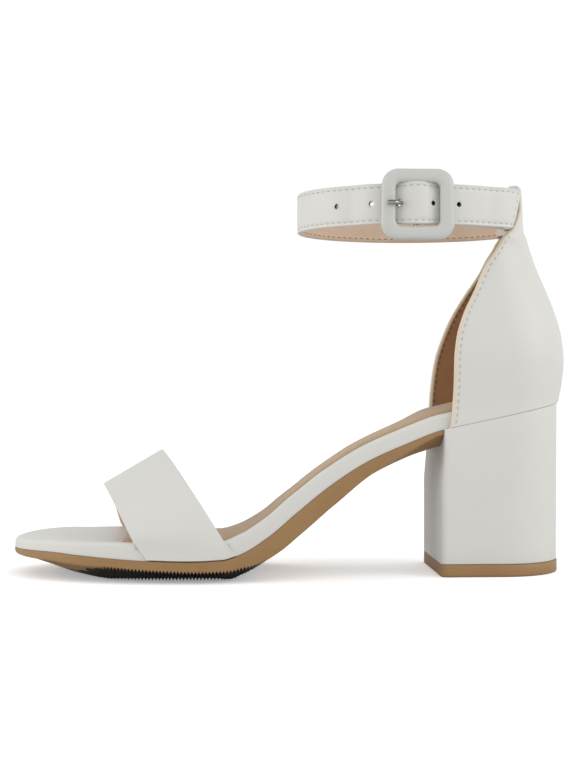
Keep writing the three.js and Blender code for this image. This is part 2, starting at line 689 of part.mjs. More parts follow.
// Heel counter. height: share of the counter's height above the heel seat. back: furthest back point.
// middle: where the round back starts. half: half width there. front, innerFront: edges of the opening
// on the outer and the inner side. wall: share of the wall. The half width is a share of the heel's half
// width, and the other places are shares of its length. The top rows follow the strap's loop, whose
// tunnel is cut through them.
const heelLength = heelBack - heelFront;
const tabWall = (2 * foldWall + strapWall + 2 * clearance) / counterWall;
const loopOutside = strapWall / 2 + clearance + foldWall;
const followLoop = {
  middle: -loopCentreSetback / heelLength,
  half: (loopHalfWidth + loopOutside) / heelHalfWidth,
};
const tabBack = (loopBackReach - loopCentreSetback + loopOutside) / heelLength;
const counterRows = [
  { height: -0.12, back: 0.510, middle: 0.00, half: 1.000, front: -0.478, innerFront: -0.480, wall: 1 },
  { height: -0.015, back: 0.515, middle: 0.00, half: 1.000, front: -0.436, innerFront: -0.472, wall: 1 },
  { height: 0.05, back: 0.521, middle: 0.00, half: 1.000, front: -0.425, innerFront: -0.465, wall: 1 },
  { height: 0.13, back: 0.549, middle: 0.00, half: 1.015, front: -0.417, innerFront: -0.450, wall: 1 },
  { height: 0.24, back: 0.569, middle: 0.00, half: 1.030, front: -0.413, innerFront: -0.417, wall: 1 },
  { height: 0.335, back: 0.553, middle: -0.01, half: 1.010, front: -0.393, innerFront: -0.363, wall: 1 },
  { height: 0.43, back: 0.506, middle: -0.04, half: 0.960, front: -0.338, innerFront: -0.290, wall: 1 },
  { height: 0.535, back: 0.433, middle: -0.10, half: 0.885, front: -0.242, innerFront: -0.179, wall: 1 },
  { height: 0.64, back: 0.348, middle: -0.18, half: 0.835, front: -0.153, innerFront: -0.048, wall: 1 },
  { height: 0.713, back: 0.299, middle: -0.34, half: 0.900, front: -0.052, innerFront: 0.028, wall: 1.05 },
  { height: 0.745, back: 0.282, middle: -0.50, half: 1.02, front: -0.005, innerFront: 0.058, wall: tabWall },
  { height: 0.775, back: 0.264, ...followLoop, front: 0.034, innerFront: 0.080, wall: tabWall },
  { height: 0.80, back: tabBack + 0.008, ...followLoop, front: 0.092, innerFront: 0.098, wall: tabWall },
  { height: 0.85, back: tabBack, ...followLoop, front: 0.146, innerFront: 0.146, wall: tabWall },
  { height: 0.91, back: tabBack, ...followLoop, front: 0.186, innerFront: 0.186, wall: tabWall },
  { height: 1.00, back: tabBack, ...followLoop, front: 0.188, innerFront: 0.188, wall: tabWall },
];
const counter = curvesOf(counterRows, 'height');
const counterTop = heelSeatHeight + counterTopHeight;

// Outer face of the counter: around runs from -1 at the outer front edge to 1 at the inner one.
function counterPoint(around, z, inset) {
  const height = (z - heelSeatHeight) / counterTopHeight;
  const back = counter.back(height) * heelLength;
  const middle = counter.middle(height) * heelLength;
  const half = counter.half(height) * heelHalfWidth;
  const edge = around < 0 ? counter.front(height) : counter.innerFront(height);
  const front = edge * heelLength;
  const reach = back - middle;
  const straight = middle - front;
  const end = straight > 0 ? Math.PI / 2 + straight / half : Math.acos(-straight / reach);
  const angle = around * end;
  const past = Math.max(0, Math.abs(angle) - Math.PI / 2);
  const curved = Math.sign(angle) * Math.min(Math.abs(angle), Math.PI / 2);
  const x = middle + reach * Math.cos(curved) - past * half;
  const y = half * Math.sin(curved);
  const normal = new THREE.Vector2(Math.cos(curved) / reach, Math.sin(curved) / half).normalize();
  return [x - normal.x * inset, y - normal.y * inset];
}

function counterGrid() {
  const lowLevels = [0, 0.07, 0.14, 0.22, 0.3, 0.38, 0.46, 0.54, 0.62];
  const highLevels = [0.68, 0.73, 0.77, 0.81, 0.86, 0.91, 0.955, 0.985, 1];
  const outer = [];
  const inner = [];
  for (const level of lowLevels.concat(highLevels)) {
    const outerRow = [];
    const innerRow = [];
    for (let i = 0; i <= counterColumns; i += 1) {
      const around = mix(-1, 1, i / counterColumns);
      let z = mix(heelSeatHeight, counterTop, level);
      for (let pass = 0; pass < 6; pass += 1) {
        const [x] = counterPoint(around, z, 0);
        z = mix(seatLine(x), counterTop, level);
      }
      const height = (z - heelSeatHeight) / counterTopHeight;
      const wall = counter.wall(height) * counterWall;
      const crest = level === 1 ? foldWall : 0;
      outerRow.push([...counterPoint(around, z, crest), z]);
      innerRow.push([...counterPoint(around, z, wall - crest), z]);
    }
    outer.push(outerRow);
    inner.push(innerRow);
  }
  return [outer, inner];
}

const [counterOuter, counterInner] = counterGrid();
const counterSolid = solidOf(facingOut(wallSkin(counterOuter, counterInner)));
const tunnel = solidOf(facingOut(sweptSkin(strapSections(-50, 50, 5, clearance, clearance))));
addPiece('heel_counter', geometryOf(counterSolid.subtract(tunnel)), whiteLeather);

// Buckle frame: a rounded bar bent into a square with round corners.
const frameWidth = buckleLength - frameMember;
const frameHeight = (buckleHeight + buckleWindowHeight) / 2;
const frameCentre = new THREE.Vector3(buckleCentreX, frameMiddleY, strapMiddleHeight);

function frameSections() {
  const corners = [[1, 1], [-1, 1], [-1, -1], [1, -1]];
  const sections = [];
  corners.forEach(([sx, sz], k) => {
    for (let i = 0; i <= 6; i += 1) {
      const angle = (Math.PI / 2) * (k + i / 6);
      const cx = sx * (frameWidth / 2 - buckleCornerRadius);
      const cz = sz * (frameHeight / 2 - buckleCornerRadius);
      const section = [];
      for (let j = 0; j < 12; j += 1) {
        const round = (2 * Math.PI * j) / 12;
        const member = mix(frameMember, buckleHeight - frameHeight, Math.abs(Math.sin(angle))) / 2;
        const radius = buckleCornerRadius + member * Math.cos(round);
        section.push([
          frameCentre.x + cx + radius * Math.cos(angle),
          frameCentre.y + (buckleDepth / 2) * Math.sin(round),
          frameCentre.z + cz + radius * Math.sin(angle),
        ]);
      }
      sections.push(section);
    }
  });
  return sections;
}

// A skin swept once round a closed path of sections.
function ringSkin(sections) {
  const count = sections[0].length;
  const triangles = [];
  for (let k = 0; k < sections.length; k += 1) {
    triangles.push(...stripBetween(k * count, ((k + 1) % sections.length) * count, count));
  }
  return facingOut(closedGeometry(sections.flat(), triangles));
}

// A closed cylinder along Y, its corners merged while it is still at the origin.
function plainCylinder(radius, length, sides) {
  const cylinder = new THREE.CylinderGeometry(radius, radius, length, sides);
  cylinder.deleteAttribute('normal');
  cylinder.deleteAttribute('uv');
  return mergeVertices(cylinder, 1e-4);
}

function uprightCylinder(radius, length) {
  const cylinder = plainCylinder(radius, length, 16);
  cylinder.rotateX(Math.PI / 2);
  cylinder.translate(buckleCentreX, barY, strapMiddleHeight);
  return cylinder;
}

const barLength = buckleWindowHeight + 2 * barSeatDepth;
const barRoom = uprightCylinder(barDiameter / 2 + clearance, barLength + 2 * clearance);
const frameSolid = solidOf(ringSkin(frameSections())).subtract(solidOf(barRoom));
addPiece('buckle_frame', geometryOf(frameSolid), whiteLeather);
addPiece('buckle_bar', uprightCylinder(barDiameter / 2, barLength), polishedNickel);

// Prong: hooked round the back of the bar, through the strap's hole, resting on the frame.
// fore: distance towards the toe from the bar. out: distance outward from the bar's middle.
const hookRadius = barDiameter / 2 + clearance + prongDiameter / 2;
const prongRows = [
  { fore: -hookRadius, out: 0 },
  { fore: -hookRadius * 0.7, out: -hookRadius * 0.7 },
  { fore: 0, out: -hookRadius },
  { fore: hookRadius * 0.7, out: -hookRadius * 0.7 },
  { fore: hookRadius * 1.15, out: -hookRadius * 0.1 },
  { fore: prongReach * 0.385, out: buckleDepth * 0.15 },
  { fore: prongReach * 0.566, out: buckleDepth * 0.48 },
  { fore: prongReach * 0.702, out: buckleDepth * 0.8 },
  { fore: prongReach * 0.8265, out: buckleDepth * 0.81 + prongDiameter / 2 },
  { fore: prongReach * 0.9, out: buckleDepth * 0.82 + prongDiameter / 2 },
  { fore: prongReach, out: buckleDepth * 0.72 + prongDiameter / 2 },
];

function prongSections(margin) {
  const path = new THREE.CatmullRomCurve3(prongRows.map((row) => new THREE.Vector3(
    buckleCentreX - row.fore,
    barY - row.out,
    strapMiddleHeight,
  )), false, 'centripetal');
  const steps = 22;
  const sections = [];
  for (let i = 0; i <= steps; i += 1) {
    const share = i / steps;
    const centre = path.getPoint(share);
    const tangent = path.getTangent(share);
    const side = new THREE.Vector3(tangent.y, -tangent.x, 0).normalize();
    const radius = (prongDiameter / 2) * (i === steps ? 0.45 : 1) + margin;
    const section = [];
    for (let j = 0; j < 8; j += 1) {
      const round = (2 * Math.PI * (j + 0.5)) / 8;
      section.push([
        centre.x + side.x * radius * Math.cos(round),
        centre.y + side.y * radius * Math.cos(round),
        centre.z + radius * Math.sin(round),
      ]);
    }
    sections.push(section);
  }
  return sections;
}

addPiece('buckle_prong', facingOut(sweptSkin(prongSections(0))), polishedNickel);

// Punched holes: two in front of the buckle, two behind it. The prong sits in the one between.
// Each goes straight through the outer layer of the strap.
const prongHoleX = buckleCentreX - prongReach * prongHoleShare;

function strapHole(step) {
  const turn = 360 - turnAtX(prongHoleX + step * holePitch);
  const [x, y, z] = strapCentre(turn);
  const before = strapCentre(turn - 1);
  const after = strapCentre(turn + 1);
  const hole = plainCylinder(holeDiameter / 2, strapWall + clearance * 1.6, 12);
  hole.rotateZ(Math.atan2(before[1] - after[1], before[0] - after[0]));
  hole.translate(x, y, z);
  return solidOf(hole);
}

const firstTurn = strapRows[0].turn;
const lastTurn = strapRows[strapRows.length - 1].turn;
let strapSolid = solidOf(facingOut(sweptSkin(strapSections(firstTurn, lastTurn, 4, 0, 0))));
strapSolid = strapSolid.subtract(solidOf(facingOut(sweptSkin(prongSections(clearance)))));
for (const step of [-2, -1, 1, 2]) strapSolid = strapSolid.subtract(strapHole(step));
addPiece('ankle_strap', geometryOf(strapSolid), whiteLeather);

export default object;
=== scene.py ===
# %% [markdown]
# # A block heel sandal in Blender
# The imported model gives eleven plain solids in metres: board, sock, outsole, toe band, counter, strap,
# buckle, heel and top lift. This lesson dresses each one with a finer mesh in the same place: leather
# with rounded cut edges, real stitches, a padded sock, and a tread of fine ribs.

# %% Load the frame
import math
import bmesh
import bpy
import numpy as np
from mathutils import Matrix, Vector


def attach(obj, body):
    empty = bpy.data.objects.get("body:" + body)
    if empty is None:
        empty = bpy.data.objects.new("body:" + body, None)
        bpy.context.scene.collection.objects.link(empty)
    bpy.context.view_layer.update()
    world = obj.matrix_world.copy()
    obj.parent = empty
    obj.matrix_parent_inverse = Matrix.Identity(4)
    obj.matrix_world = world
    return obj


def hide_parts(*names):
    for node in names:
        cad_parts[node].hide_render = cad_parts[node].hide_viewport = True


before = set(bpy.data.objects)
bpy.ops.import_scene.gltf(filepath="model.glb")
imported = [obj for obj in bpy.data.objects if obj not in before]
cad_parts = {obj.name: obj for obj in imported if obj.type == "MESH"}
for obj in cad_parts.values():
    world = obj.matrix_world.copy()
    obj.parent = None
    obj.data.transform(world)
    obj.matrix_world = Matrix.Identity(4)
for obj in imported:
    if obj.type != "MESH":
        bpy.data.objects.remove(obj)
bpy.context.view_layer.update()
print("solids:", sorted(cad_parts))

# %% [markdown]
# ## Helpers for meshes
# All shapes are worked out in millimetres with numpy and turned to metres once, when the mesh is made.
# Most pieces of a shoe are a strip swept along a path, so one function joins closed loops of points
# into a skin. Each column of the loop can have a material of its own, which is how leather, cut edge
# and lining end up on one mesh.

# %% Mesh helpers
MM = 0.001


def make_piece(name, points, faces, materials, face_material=None, sharp_degrees=40):
    mesh = bpy.data.meshes.new(name)
    mesh.from_pydata((np.asarray(points) * MM).tolist(), [], [list(f) for f in faces])
    for material in materials:
        mesh.materials.append(material)
    if face_material is not None:
        mesh.polygons.foreach_set("material_index", np.asarray(face_material, dtype=np.int32))
    tidy = bmesh.new()
    tidy.from_mesh(mesh)
    bmesh.ops.remove_doubles(tidy, verts=tidy.verts, dist=0.002 * MM)
    bmesh.ops.recalc_face_normals(tidy, faces=tidy.faces)
    tidy.to_mesh(mesh)
    tidy.free()
    mesh.polygons.foreach_set("use_smooth", np.ones(len(mesh.polygons), dtype=bool))
    mesh.set_sharp_from_angle(angle=math.radians(sharp_degrees))
    piece = bpy.data.objects.new(name, mesh)
    bpy.context.scene.collection.objects.link(piece)
    return piece


def sweep_faces(rows, columns):
    """Quads between closed loops. Face number = row * columns + column."""
    r, c = np.meshgrid(np.arange(rows - 1), np.arange(columns), indexing="ij")
    after = (c + 1) % columns
    corners = (r * columns + c, r * columns + after, (r + 1) * columns + after, (r + 1) * columns + c)
    return np.stack([corner.ravel() for corner in corners], axis=1).tolist()


def end_strip(start, pairs):
    """Quads that close one end of a sweep, between pairs of loop corners."""
    return [[start + a, start + c, start + d, start + b] for (a, b), (c, d) in zip(pairs[:-1], pairs[1:])]


def capped_faces(rows, columns):
    """Quads between closed loops, with one flat face at each end."""
    last = (rows - 1) * columns
    return sweep_faces(rows, columns) + [list(range(columns)), list(range(last, last + columns))]


def layer_faces(rows, columns):
    """Quads between loops that run down one side and back up the other, with a strip across each end."""
    pairs = [(i, columns - 1 - i) for i in range(columns // 2)]
    ends = end_strip(0, pairs) + end_strip((rows - 1) * columns, pairs)
    return sweep_faces(rows, columns) + ends


def finish_piece(piece, slot, *nodes):
    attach(piece, "root")
    if nodes:
        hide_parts(*nodes)
    print(f"{piece.name}: {len(piece.data.polygons)} faces")
    return piece


def curve_through(at_values, values):
    """Smooth curve that never overshoots between two rows of a table."""
    x, y = np.array(at_values, float), np.array(values, float)
    chord = np.diff(y) / np.diff(x)
    slope = np.concatenate([chord[:1], chord[1:], chord[-1:]])
    for i in range(1, len(x) - 1):
        before, after = chord[i - 1], chord[i]
        slope[i] = 0 if before * after <= 0 else 2 * before * after / (before + after)

    def value(at):
        at = np.asarray(at, float)
        i = np.clip(np.searchsorted(x, at, side="right") - 1, 0, len(x) - 2)
        span = x[i + 1] - x[i]
        t = np.clip((at - x[i]) / span, 0, 1)
        bend = t * (1 - t) * ((1 - t) * slope[i] - t * slope[i + 1])
        return y[i] + (y[i + 1] - y[i]) * t * t * (3 - 2 * t) + span * bend

    return value


def table_curves(names, rows, key=0):
    columns = list(zip(*rows))
    return {name: curve_through(columns[key], column) for name, column in zip(names, columns)}


def mix(a, b, share):
    return a + (b - a) * share


# %% [markdown]
# ## Colours
# Colours are written as sRGB hex values, as a paint chart gives them. Blender's shader works in linear
# light, so one function converts them. A second small function adds a shader node, sets its values and
# links its inputs, so that each material below reads as a short recipe.

# %% Colour and node helpers
def srgb(code):
    parts = [int(code[i:i + 2], 16) / 255 for i in (0, 2, 4)]
    return [p / 12.92 if p <= 0.04045 else ((p + 0.055) / 1.055) ** 2.4 for p in parts] + [1.0]


def add_node(tree, kind, settings=None, **inputs):
    """A node with its settings, its input values, and links where a value is another node's output."""
    node = tree.nodes.new(kind)
    for name, value in (settings or {}).items():
        setattr(node, name, value)
    for name, value in inputs.items():
        socket = node.inputs[int(name[1:])] if name[1:].isdigit() else node.inputs[name.replace("_", " ")]
        if isinstance(value, bpy.types.NodeSocket):
            tree.links.new(value, socket)
        else:
            socket.default_value = value
    return node


def new_material(name):
    material = bpy.data.materials.new(name)
    material.use_nodes = True
    tree = material.node_tree
    tree.nodes.clear()
    place = add_node(tree, "ShaderNodeTexCoord").outputs["Object"]
    return material, tree, place


def close_material(tree, shader):
    output = tree.nodes.new("ShaderNodeOutputMaterial")
    tree.links.new(shader.outputs[0], output.inputs["Surface"])


def colour_between(tree, share, dark, light):
    ramp = add_node(tree, "ShaderNodeValToRGB", Fac=share)
    ramp.color_ramp.elements[0].color = srgb(dark)
    ramp.color_ramp.elements[1].color = srgb(light)
    return ramp.outputs["Color"]


# %% [markdown]
# ## White smooth leather
# Corrected-grain calf, sprayed off-white and lightly polished. To the eye it is one even tone with a
# broad soft sheen. Close up it has very fine pores, a faint mottling a few centimetres wide, and small
# creases where it is pulled over an edge. Pores are about 0.35 mm apart. The bump stays weak, because
# the finish fills them almost flat. The buckle is covered with the same leather, stretched and a shade
# greyer.

# %% White leather
def smooth_leather(name, dark, light, roughness, pore_mm, pore_depth):
    material, tree, place = new_material(name)
    cloud = add_node(tree, "ShaderNodeTexNoise", Vector=place, Scale=1 / (30 * MM), Detail=3.0,
                     Roughness=0.55)
    pores = add_node(tree, "ShaderNodeTexVoronoi", {"feature": "DISTANCE_TO_EDGE"},
                     Vector=place, Scale=1 / (pore_mm * MM), Randomness=1.0)
    grain = add_node(tree, "ShaderNodeTexNoise", Vector=place, Scale=1 / (0.9 * MM), Detail=4.0,
                     Roughness=0.6)
    pulled = add_node(tree, "ShaderNodeTexNoise", Vector=place, Scale=1 / (7 * MM), Detail=2.0)
    colour = colour_between(tree, cloud.outputs["Fac"], dark, light)
    gloss = add_node(tree, "ShaderNodeMapRange", Value=grain.outputs["Fac"],
                     To_Min=roughness - 0.06, To_Max=roughness + 0.06)
    fine = add_node(tree, "ShaderNodeBump", Height=pores.outputs["Distance"],
                    Strength=pore_depth, Distance=0.08 * MM)
    middle = add_node(tree, "ShaderNodeBump", Height=grain.outputs["Fac"], Normal=fine.outputs[0],
                      Strength=0.16, Distance=0.15 * MM)
    soft = add_node(tree, "ShaderNodeBump", Height=pulled.outputs["Fac"], Normal=middle.outputs[0],
                    Strength=0.12, Distance=0.8 * MM)
    shader = add_node(tree, "ShaderNodeBsdfPrincipled", Base_Color=colour, Roughness=gloss.outputs[0],
                      Normal=soft.outputs[0], IOR=1.5, Specular_IOR_Level=0.42,
                      Sheen_Weight=0.05, Sheen_Roughness=0.4)
    close_material(tree, shader)
    return material


white_leather = smooth_leather("white_smooth_calf", "cbcac5", "d2d1cc", 0.46, 0.35, 0.25)
frame_leather = smooth_leather("buckle_cover_calf", "bdbdb9", "c3c3c0", 0.42, 0.35, 0.2)

# %% [markdown]
# ## Linings and cut edges
# The counter is lined with tan pigskin and the straps with a paler one, undyed and a little furry: it
# has almost no gloss and its colour wanders. The sock is a beige sheep leather. Where the leather is
# cut, its edge is painted cream. The wall of a punched hole is painted nearly black: painted shade in
# the hole. The polyester thread is white; outside it is painted grey for the shade it lies in, and it is
# brown on the linings.

# %% Linings, edge paint and thread
def lining_leather(name, dark, light, roughness):
    material, tree, place = new_material(name)
    cloud = add_node(tree, "ShaderNodeTexNoise", Vector=place, Scale=1 / (9 * MM), Detail=5.0,
                     Roughness=0.62)
    fibre = add_node(tree, "ShaderNodeTexNoise", Vector=place, Scale=1 / (0.5 * MM), Detail=3.0,
                     Roughness=0.7)
    colour = colour_between(tree, cloud.outputs["Fac"], dark, light)
    nap = add_node(tree, "ShaderNodeBump", Height=fibre.outputs["Fac"], Strength=0.3, Distance=0.15 * MM)
    shader = add_node(tree, "ShaderNodeBsdfPrincipled", Base_Color=colour, Roughness=roughness,
                      Normal=nap.outputs[0], IOR=1.45, Specular_IOR_Level=0.25,
                      Sheen_Weight=0.15, Sheen_Roughness=0.5)
    close_material(tree, shader)
    return material


counter_lining = lining_leather("tan_pigskin_lining", "8f6846", "ab835e", 0.78)
strap_lining = lining_leather("pale_pigskin_lining", "c8af98", "d8c3ae", 0.78)
sock_leather = lining_leather("beige_sheepskin_sock", "a78c6c", "b59b7c", 0.66)
cream_edge = lining_leather("cream_edge_paint", "cfc2ad", "dacebb", 0.6)
# Hole walls are painted nearly black: painted shade inside the punched holes.
hole_wall_shade = lining_leather("punched_hole_painted_shade", "2b221b", "4a3b2e", 0.85)
# The outside thread is white. Its grey colour is painted shade, for the shadow it lies in.
thread_painted_grey = lining_leather("white_thread_painted_grey_shade", "aeaca5", "bdbbb4", 0.6)
brown_thread = lining_leather("brown_polyester_thread", "5d4129", "714f33", 0.65)

# %% [markdown]
# ## Tan rubber
# Outsole and top lift are moulded rubber in a leather tan. Rubber straight from a polished mould has a
# faint satin skin, and buffing the side of the sole leaves fine lines along it. They are drawn 0.8 mm
# apart, twice as coarse as on the real sole, because finer ones don't show. They run along the edge, so
# the noise is squeezed in Z. A nearly black copy, otherwise the same, is painted contact shadow on the tread.

# %% Tan rubber
def moulded_rubber(name, dark, light):
    material, tree, place = new_material(name)
    length, spacing = 14 * MM, 0.8 * MM
    along = add_node(tree, "ShaderNodeMapping", Vector=place, Scale=(1 / length, 1 / length, 1 / spacing))
    buffed = add_node(tree, "ShaderNodeTexNoise", Vector=along.outputs[0], Scale=1.0, Detail=4.0,
                      Roughness=0.6)
    cloud = add_node(tree, "ShaderNodeTexNoise", Vector=place, Scale=1 / (18 * MM), Detail=3.0)
    share = add_node(tree, "ShaderNodeMix", {"data_type": "FLOAT"}, _0=0.5, _2=buffed.outputs["Fac"],
                     _3=cloud.outputs["Fac"])
    colour = colour_between(tree, share.outputs[0], dark, light)
    skin = add_node(tree, "ShaderNodeBump", Height=buffed.outputs["Fac"], Strength=0.25, Distance=0.12 * MM)
    shader = add_node(tree, "ShaderNodeBsdfPrincipled", Base_Color=colour, Roughness=0.5,
                      Normal=skin.outputs[0], IOR=1.52, Specular_IOR_Level=0.4)
    close_material(tree, shader)
    return material


tan_rubber = moulded_rubber("tan_moulded_rubber", "86643b", "a17f55")
# Nearly black copy of the tan rubber: painted contact shadow on the tread under the ball.
contact_shadow_rubber = moulded_rubber("tread_painted_contact_shadow", "1c1814", "2a241e")

# %% [markdown]
# ## Nickel plate
# The buckle's bar and prong are steel wire with nickel plate: a mirror with a warm grey tint, a little
# dulled by wear. Its base colour is painted darker than nickel's own, as painted dark reflections.
# Rubbing against the leather leaves very fine scratches, which only widen the reflections a little.

# %% Nickel
nickel, tree, place = new_material("nickel_painted_dark_reflection")
rubbed = add_node(tree, "ShaderNodeTexNoise", Vector=place, Scale=1 / (0.6 * MM), Detail=3.0)
polish = add_node(tree, "ShaderNodeMapRange", Value=rubbed.outputs["Fac"], To_Min=0.14, To_Max=0.26)
# Base colour painted darker than nickel's own: painted dark reflections on bar and prong.
close_material(tree, add_node(tree, "ShaderNodeBsdfPrincipled", Base_Color=srgb("a3a099"), Metallic=1.0,
                              Roughness=polish.outputs[0]))

# %% [markdown]
# ## The last, as tables
# A shoemaker's last fixes the curves that board, outsole and sock share. The same tables as in the
# model's source give the plan, seen from above, and the profile, seen from the side. All layers then
# follow each other exactly, with a small clearance between them.

# %% Sizes and tables of the sole
HEEL_TO_TOE, HEEL_TO_BACK, HEEL_TO_BREAST = 197.7, 23.4, 24.7
HALF_BALL, HALF_SEAT = 39.75, 23.7
SEAT_HEIGHT, SEAT_SLOPE = 64.2, 0.2113
TOE_SPRING, INNER_DROP, CLEARANCE = 2.8, 4.2, 0.3
BOARD, OUTSOLE, SOCK, HEEL_PAD = 6.2, 8.5, 1.3, 1.6
BOARD_LENGTH = HEEL_TO_TOE + HEEL_TO_BACK
TOE_X, HEEL_FRONT = -HEEL_TO_TOE, -HEEL_TO_BREAST
OUTSOLE_END = HEEL_FRONT - CLEARANCE
SEAT_START = OUTSOLE_END - CLEARANCE
BALL_SEAT = OUTSOLE + CLEARANCE
SEAT_RISE = SEAT_HEIGHT - BALL_SEAT


def seat_line(x):
    return SEAT_HEIGHT + SEAT_SLOPE * x


def along_of(x):
    return (x - TOE_X) / BOARD_LENGTH


def turn_of(along):
    return np.arccos(1 - 2 * np.clip(along, 0, 1)) / math.pi


seat_half = HALF_SEAT / HALF_BALL
PLAN = [  # along, outer, inner
    (0.000, -0.17, 0.17), (0.035, 0.43, 0.61), (0.071, 0.64, 0.76), (0.125, 0.82, 0.88),
    (0.193, 0.945, 0.95), (0.260, 1.01, 0.955), (0.328, 1.035, 0.91), (0.382, 1.015, 0.835),
    (0.418, 0.965, 0.75), (0.463, 0.895, 0.655), (0.513, 0.81, 0.58), (0.576, 0.735, 0.535),
    (0.644, 0.675, 0.53), (0.721, 0.635, 0.56),
    (along_of(SEAT_START), seat_half, seat_half), (along_of(0), seat_half, seat_half),
]
PROFILE = [  # along, rise, spring, board, edge, core, pad, cant
    (0.000, 0, 0.75, 0.56, 0.24, 0.36, 0, 0), (0.035, 0, 0.95, 0.64, 0.35, 0.55, 0, 0.05),
    (0.071, 0, 1.00, 0.71, 0.39, 0.74, 0, 0.10), (0.125, 0, 0.75, 0.80, 0.43, 0.97, 0, 0.15),
    (0.193, 0, 0.38, 1.00, 0.47, 1.12, 0, 0.25), (0.260, 0, 0.10, 1.12, 0.50, 1.12, 0, 0.40),
    (0.328, 0, 0.00, 1.17, 0.54, 1.12, 0, 0.58), (0.382, 0.008, 0, 1.18, 0.58, 1.10, 0, 0.75),
    (0.418, 0.054, 0, 1.15, 0.67, 0.99, 0.05, 0.88), (0.463, 0.160, 0, 1.09, 0.79, 0.90, 0.10, 0.98),
    (0.513, 0.320, 0, 1.06, 0.88, 0.92, 0.20, 1.00), (0.576, 0.515, 0, 1.03, 0.85, 0.88, 0.30, 0.85),
    (0.644, 0.683, 0, 1.01, 0.63, 0.70, 0.36, 0.64), (0.721, 0.817, 0, 1.01, 0.38, 0.66, 0.36, 0.44),
    (along_of(SEAT_START), (seat_line(SEAT_START) - BALL_SEAT) / SEAT_RISE, 0, 0.98, 0.20, 0.80, 0.4, 0),
    (along_of(0), (seat_line(0) - BALL_SEAT) / SEAT_RISE, 0, 0.98, 0.20, 0.80, 1.0, 0),
]
plan = table_curves(("turn", "outer", "inner"), [(float(turn_of(a)), o, i) for a, o, i in PLAN])
profile = table_curves(("along", "rise", "spring", "board", "edge", "core", "pad", "cant"), PROFILE)


def half_widths(x):
    x = np.asarray(x, float)
    turn = turn_of(along_of(x))
    end = HALF_SEAT * np.sqrt(np.clip(1 - (x / HEEL_TO_BACK) ** 2, 0, None))
    outer = np.where(x > 0, end, plan["outer"](turn) * HALF_BALL)
    inner = np.where(x > 0, end, plan["inner"](turn) * HALF_BALL)
    return outer, inner


def outer_seat(x):
    along = along_of(np.asarray(x, float))
    curved = BALL_SEAT + profile["rise"](along) * SEAT_RISE + profile["spring"](along) * TOE_SPRING
    return np.where(x >= SEAT_START, seat_line(x), curved)


def board_bottom(x, y):
    outer, inner = half_widths(x)
    across = np.clip((y + outer) / (outer + inner + CLEARANCE), 0, 1)
    return outer_seat(x) - profile["cant"](along_of(x)) * INNER_DROP * across


def slope_factor(x):
    slope = (outer_seat(x + 2) - outer_seat(x - 2)) / 4
    return np.sqrt(1 + slope * slope)


def board_top(x, y):
    return board_bottom(x, y) + profile["board"](along_of(x)) * BOARD * slope_factor(x)


def outsole_side(x, y):
    thick = profile["edge"](along_of(x)) * OUTSOLE * slope_factor(x)
    return np.maximum(1.4, board_bottom(x, y) - CLEARANCE - thick)


def outsole_middle(x, y):
    thick = profile["core"](along_of(x)) * OUTSOLE * slope_factor(x)
    return np.maximum(0, board_bottom(x, y) - CLEARANCE - thick)


print("board length", BOARD_LENGTH, "mm, ball width", 2 * HALF_BALL, "mm")

# %% [markdown]
# ## Layers of the sole
# A layer is a stack of rings. Each ring follows the outline at some distance inside it, at a height
# that depends on the place. Rounded edges are simply a few rings close together. The outline needs
# many more points at the round toe and heel, so its stations are spaced by the cosine of a turn.

# %% Outline and layers
def stations(start, end, count):
    turns = np.linspace(0, 1, count + 1)
    every = TOE_X + BOARD_LENGTH * (1 - np.cos(math.pi * turns)) / 2
    return np.concatenate([[start], every[(every > start + 0.02) & (every < end - 0.02)], [end]])


def outline(x, grow=0.0):
    outer, inner = half_widths(x)
    return inset_outline((np.stack([x, -outer], 1), np.stack([x, inner], 1)), -grow)


def inset_outline(sides, inset):
    """Moves the two sides in along their own normals. inset may be one number or one for each station."""
    result = []
    for side, other, sign in ((sides[0], sides[1], 1), (sides[1], sides[0], -1)):
        before = np.vstack([side[:1], side[:-1]])
        after = np.vstack([side[1:], side[-1:]])
        round_start = abs(side[0, 1] - other[0, 1]) < 2
        round_end = abs(side[-1, 1] - other[-1, 1]) < 2
        if round_start:
            before[0] = other[1]
        if round_end:
            after[-1] = other[-2]
        tangent = after - before
        tangent /= np.linalg.norm(tangent, axis=1, keepdims=True) + 1e-12
        normal = np.stack([-tangent[:, 1], tangent[:, 0]], 1)
        if not round_start:
            normal[0] = (0, 1)
        if not round_end:
            normal[-1] = (0, 1)
        result.append(side + sign * normal * np.reshape(inset, (-1, 1)))
    return result


def sole_layer(x, rings, grow=0.0):
    """rings: (inset, height function). Returns points and faces of a closed layer."""
    sides = outline(x, grow)
    loops = []
    for inset, height in rings:
        moved = inset_outline(sides, inset)
        loop = np.vstack([moved[0], moved[1][::-1]])
        loops.append(np.column_stack([loop, height(loop[:, 0], loop[:, 1])]))
    return np.vstack(loops), layer_faces(len(loops), 2 * len(x))


# %% [markdown]
# ## Insole board
# The board is wrapped in the white leather, pulled tight over a rounded upper edge. Only its rim and
# the bare toe show. Under the toe band the rim is drawn in by the band's thickness, as it is on the
# real shoe, where the band is pressed between board and outsole. It starts a little inside the band's
# edges, so that no gap shows there. At the toe the rim stands flush with the outsole. An extruded
# outline with a bevel would be quicker, but the board's height and thickness change all along it, and
# rings follow both.

# %% Board
BAND_WALL, BAND_PROUD, BAND_SLANT, BAND_INNER_CURVE = 1.8, 0.8, 4.9, 1.8
BAND_OUTER_FRONT, BAND_INNER_FRONT = TOE_X + 50.3, TOE_X + 40.7
BAND_OUTER_BACK, BAND_INNER_BACK = BAND_OUTER_FRONT + 35.2, BAND_INNER_FRONT + 36


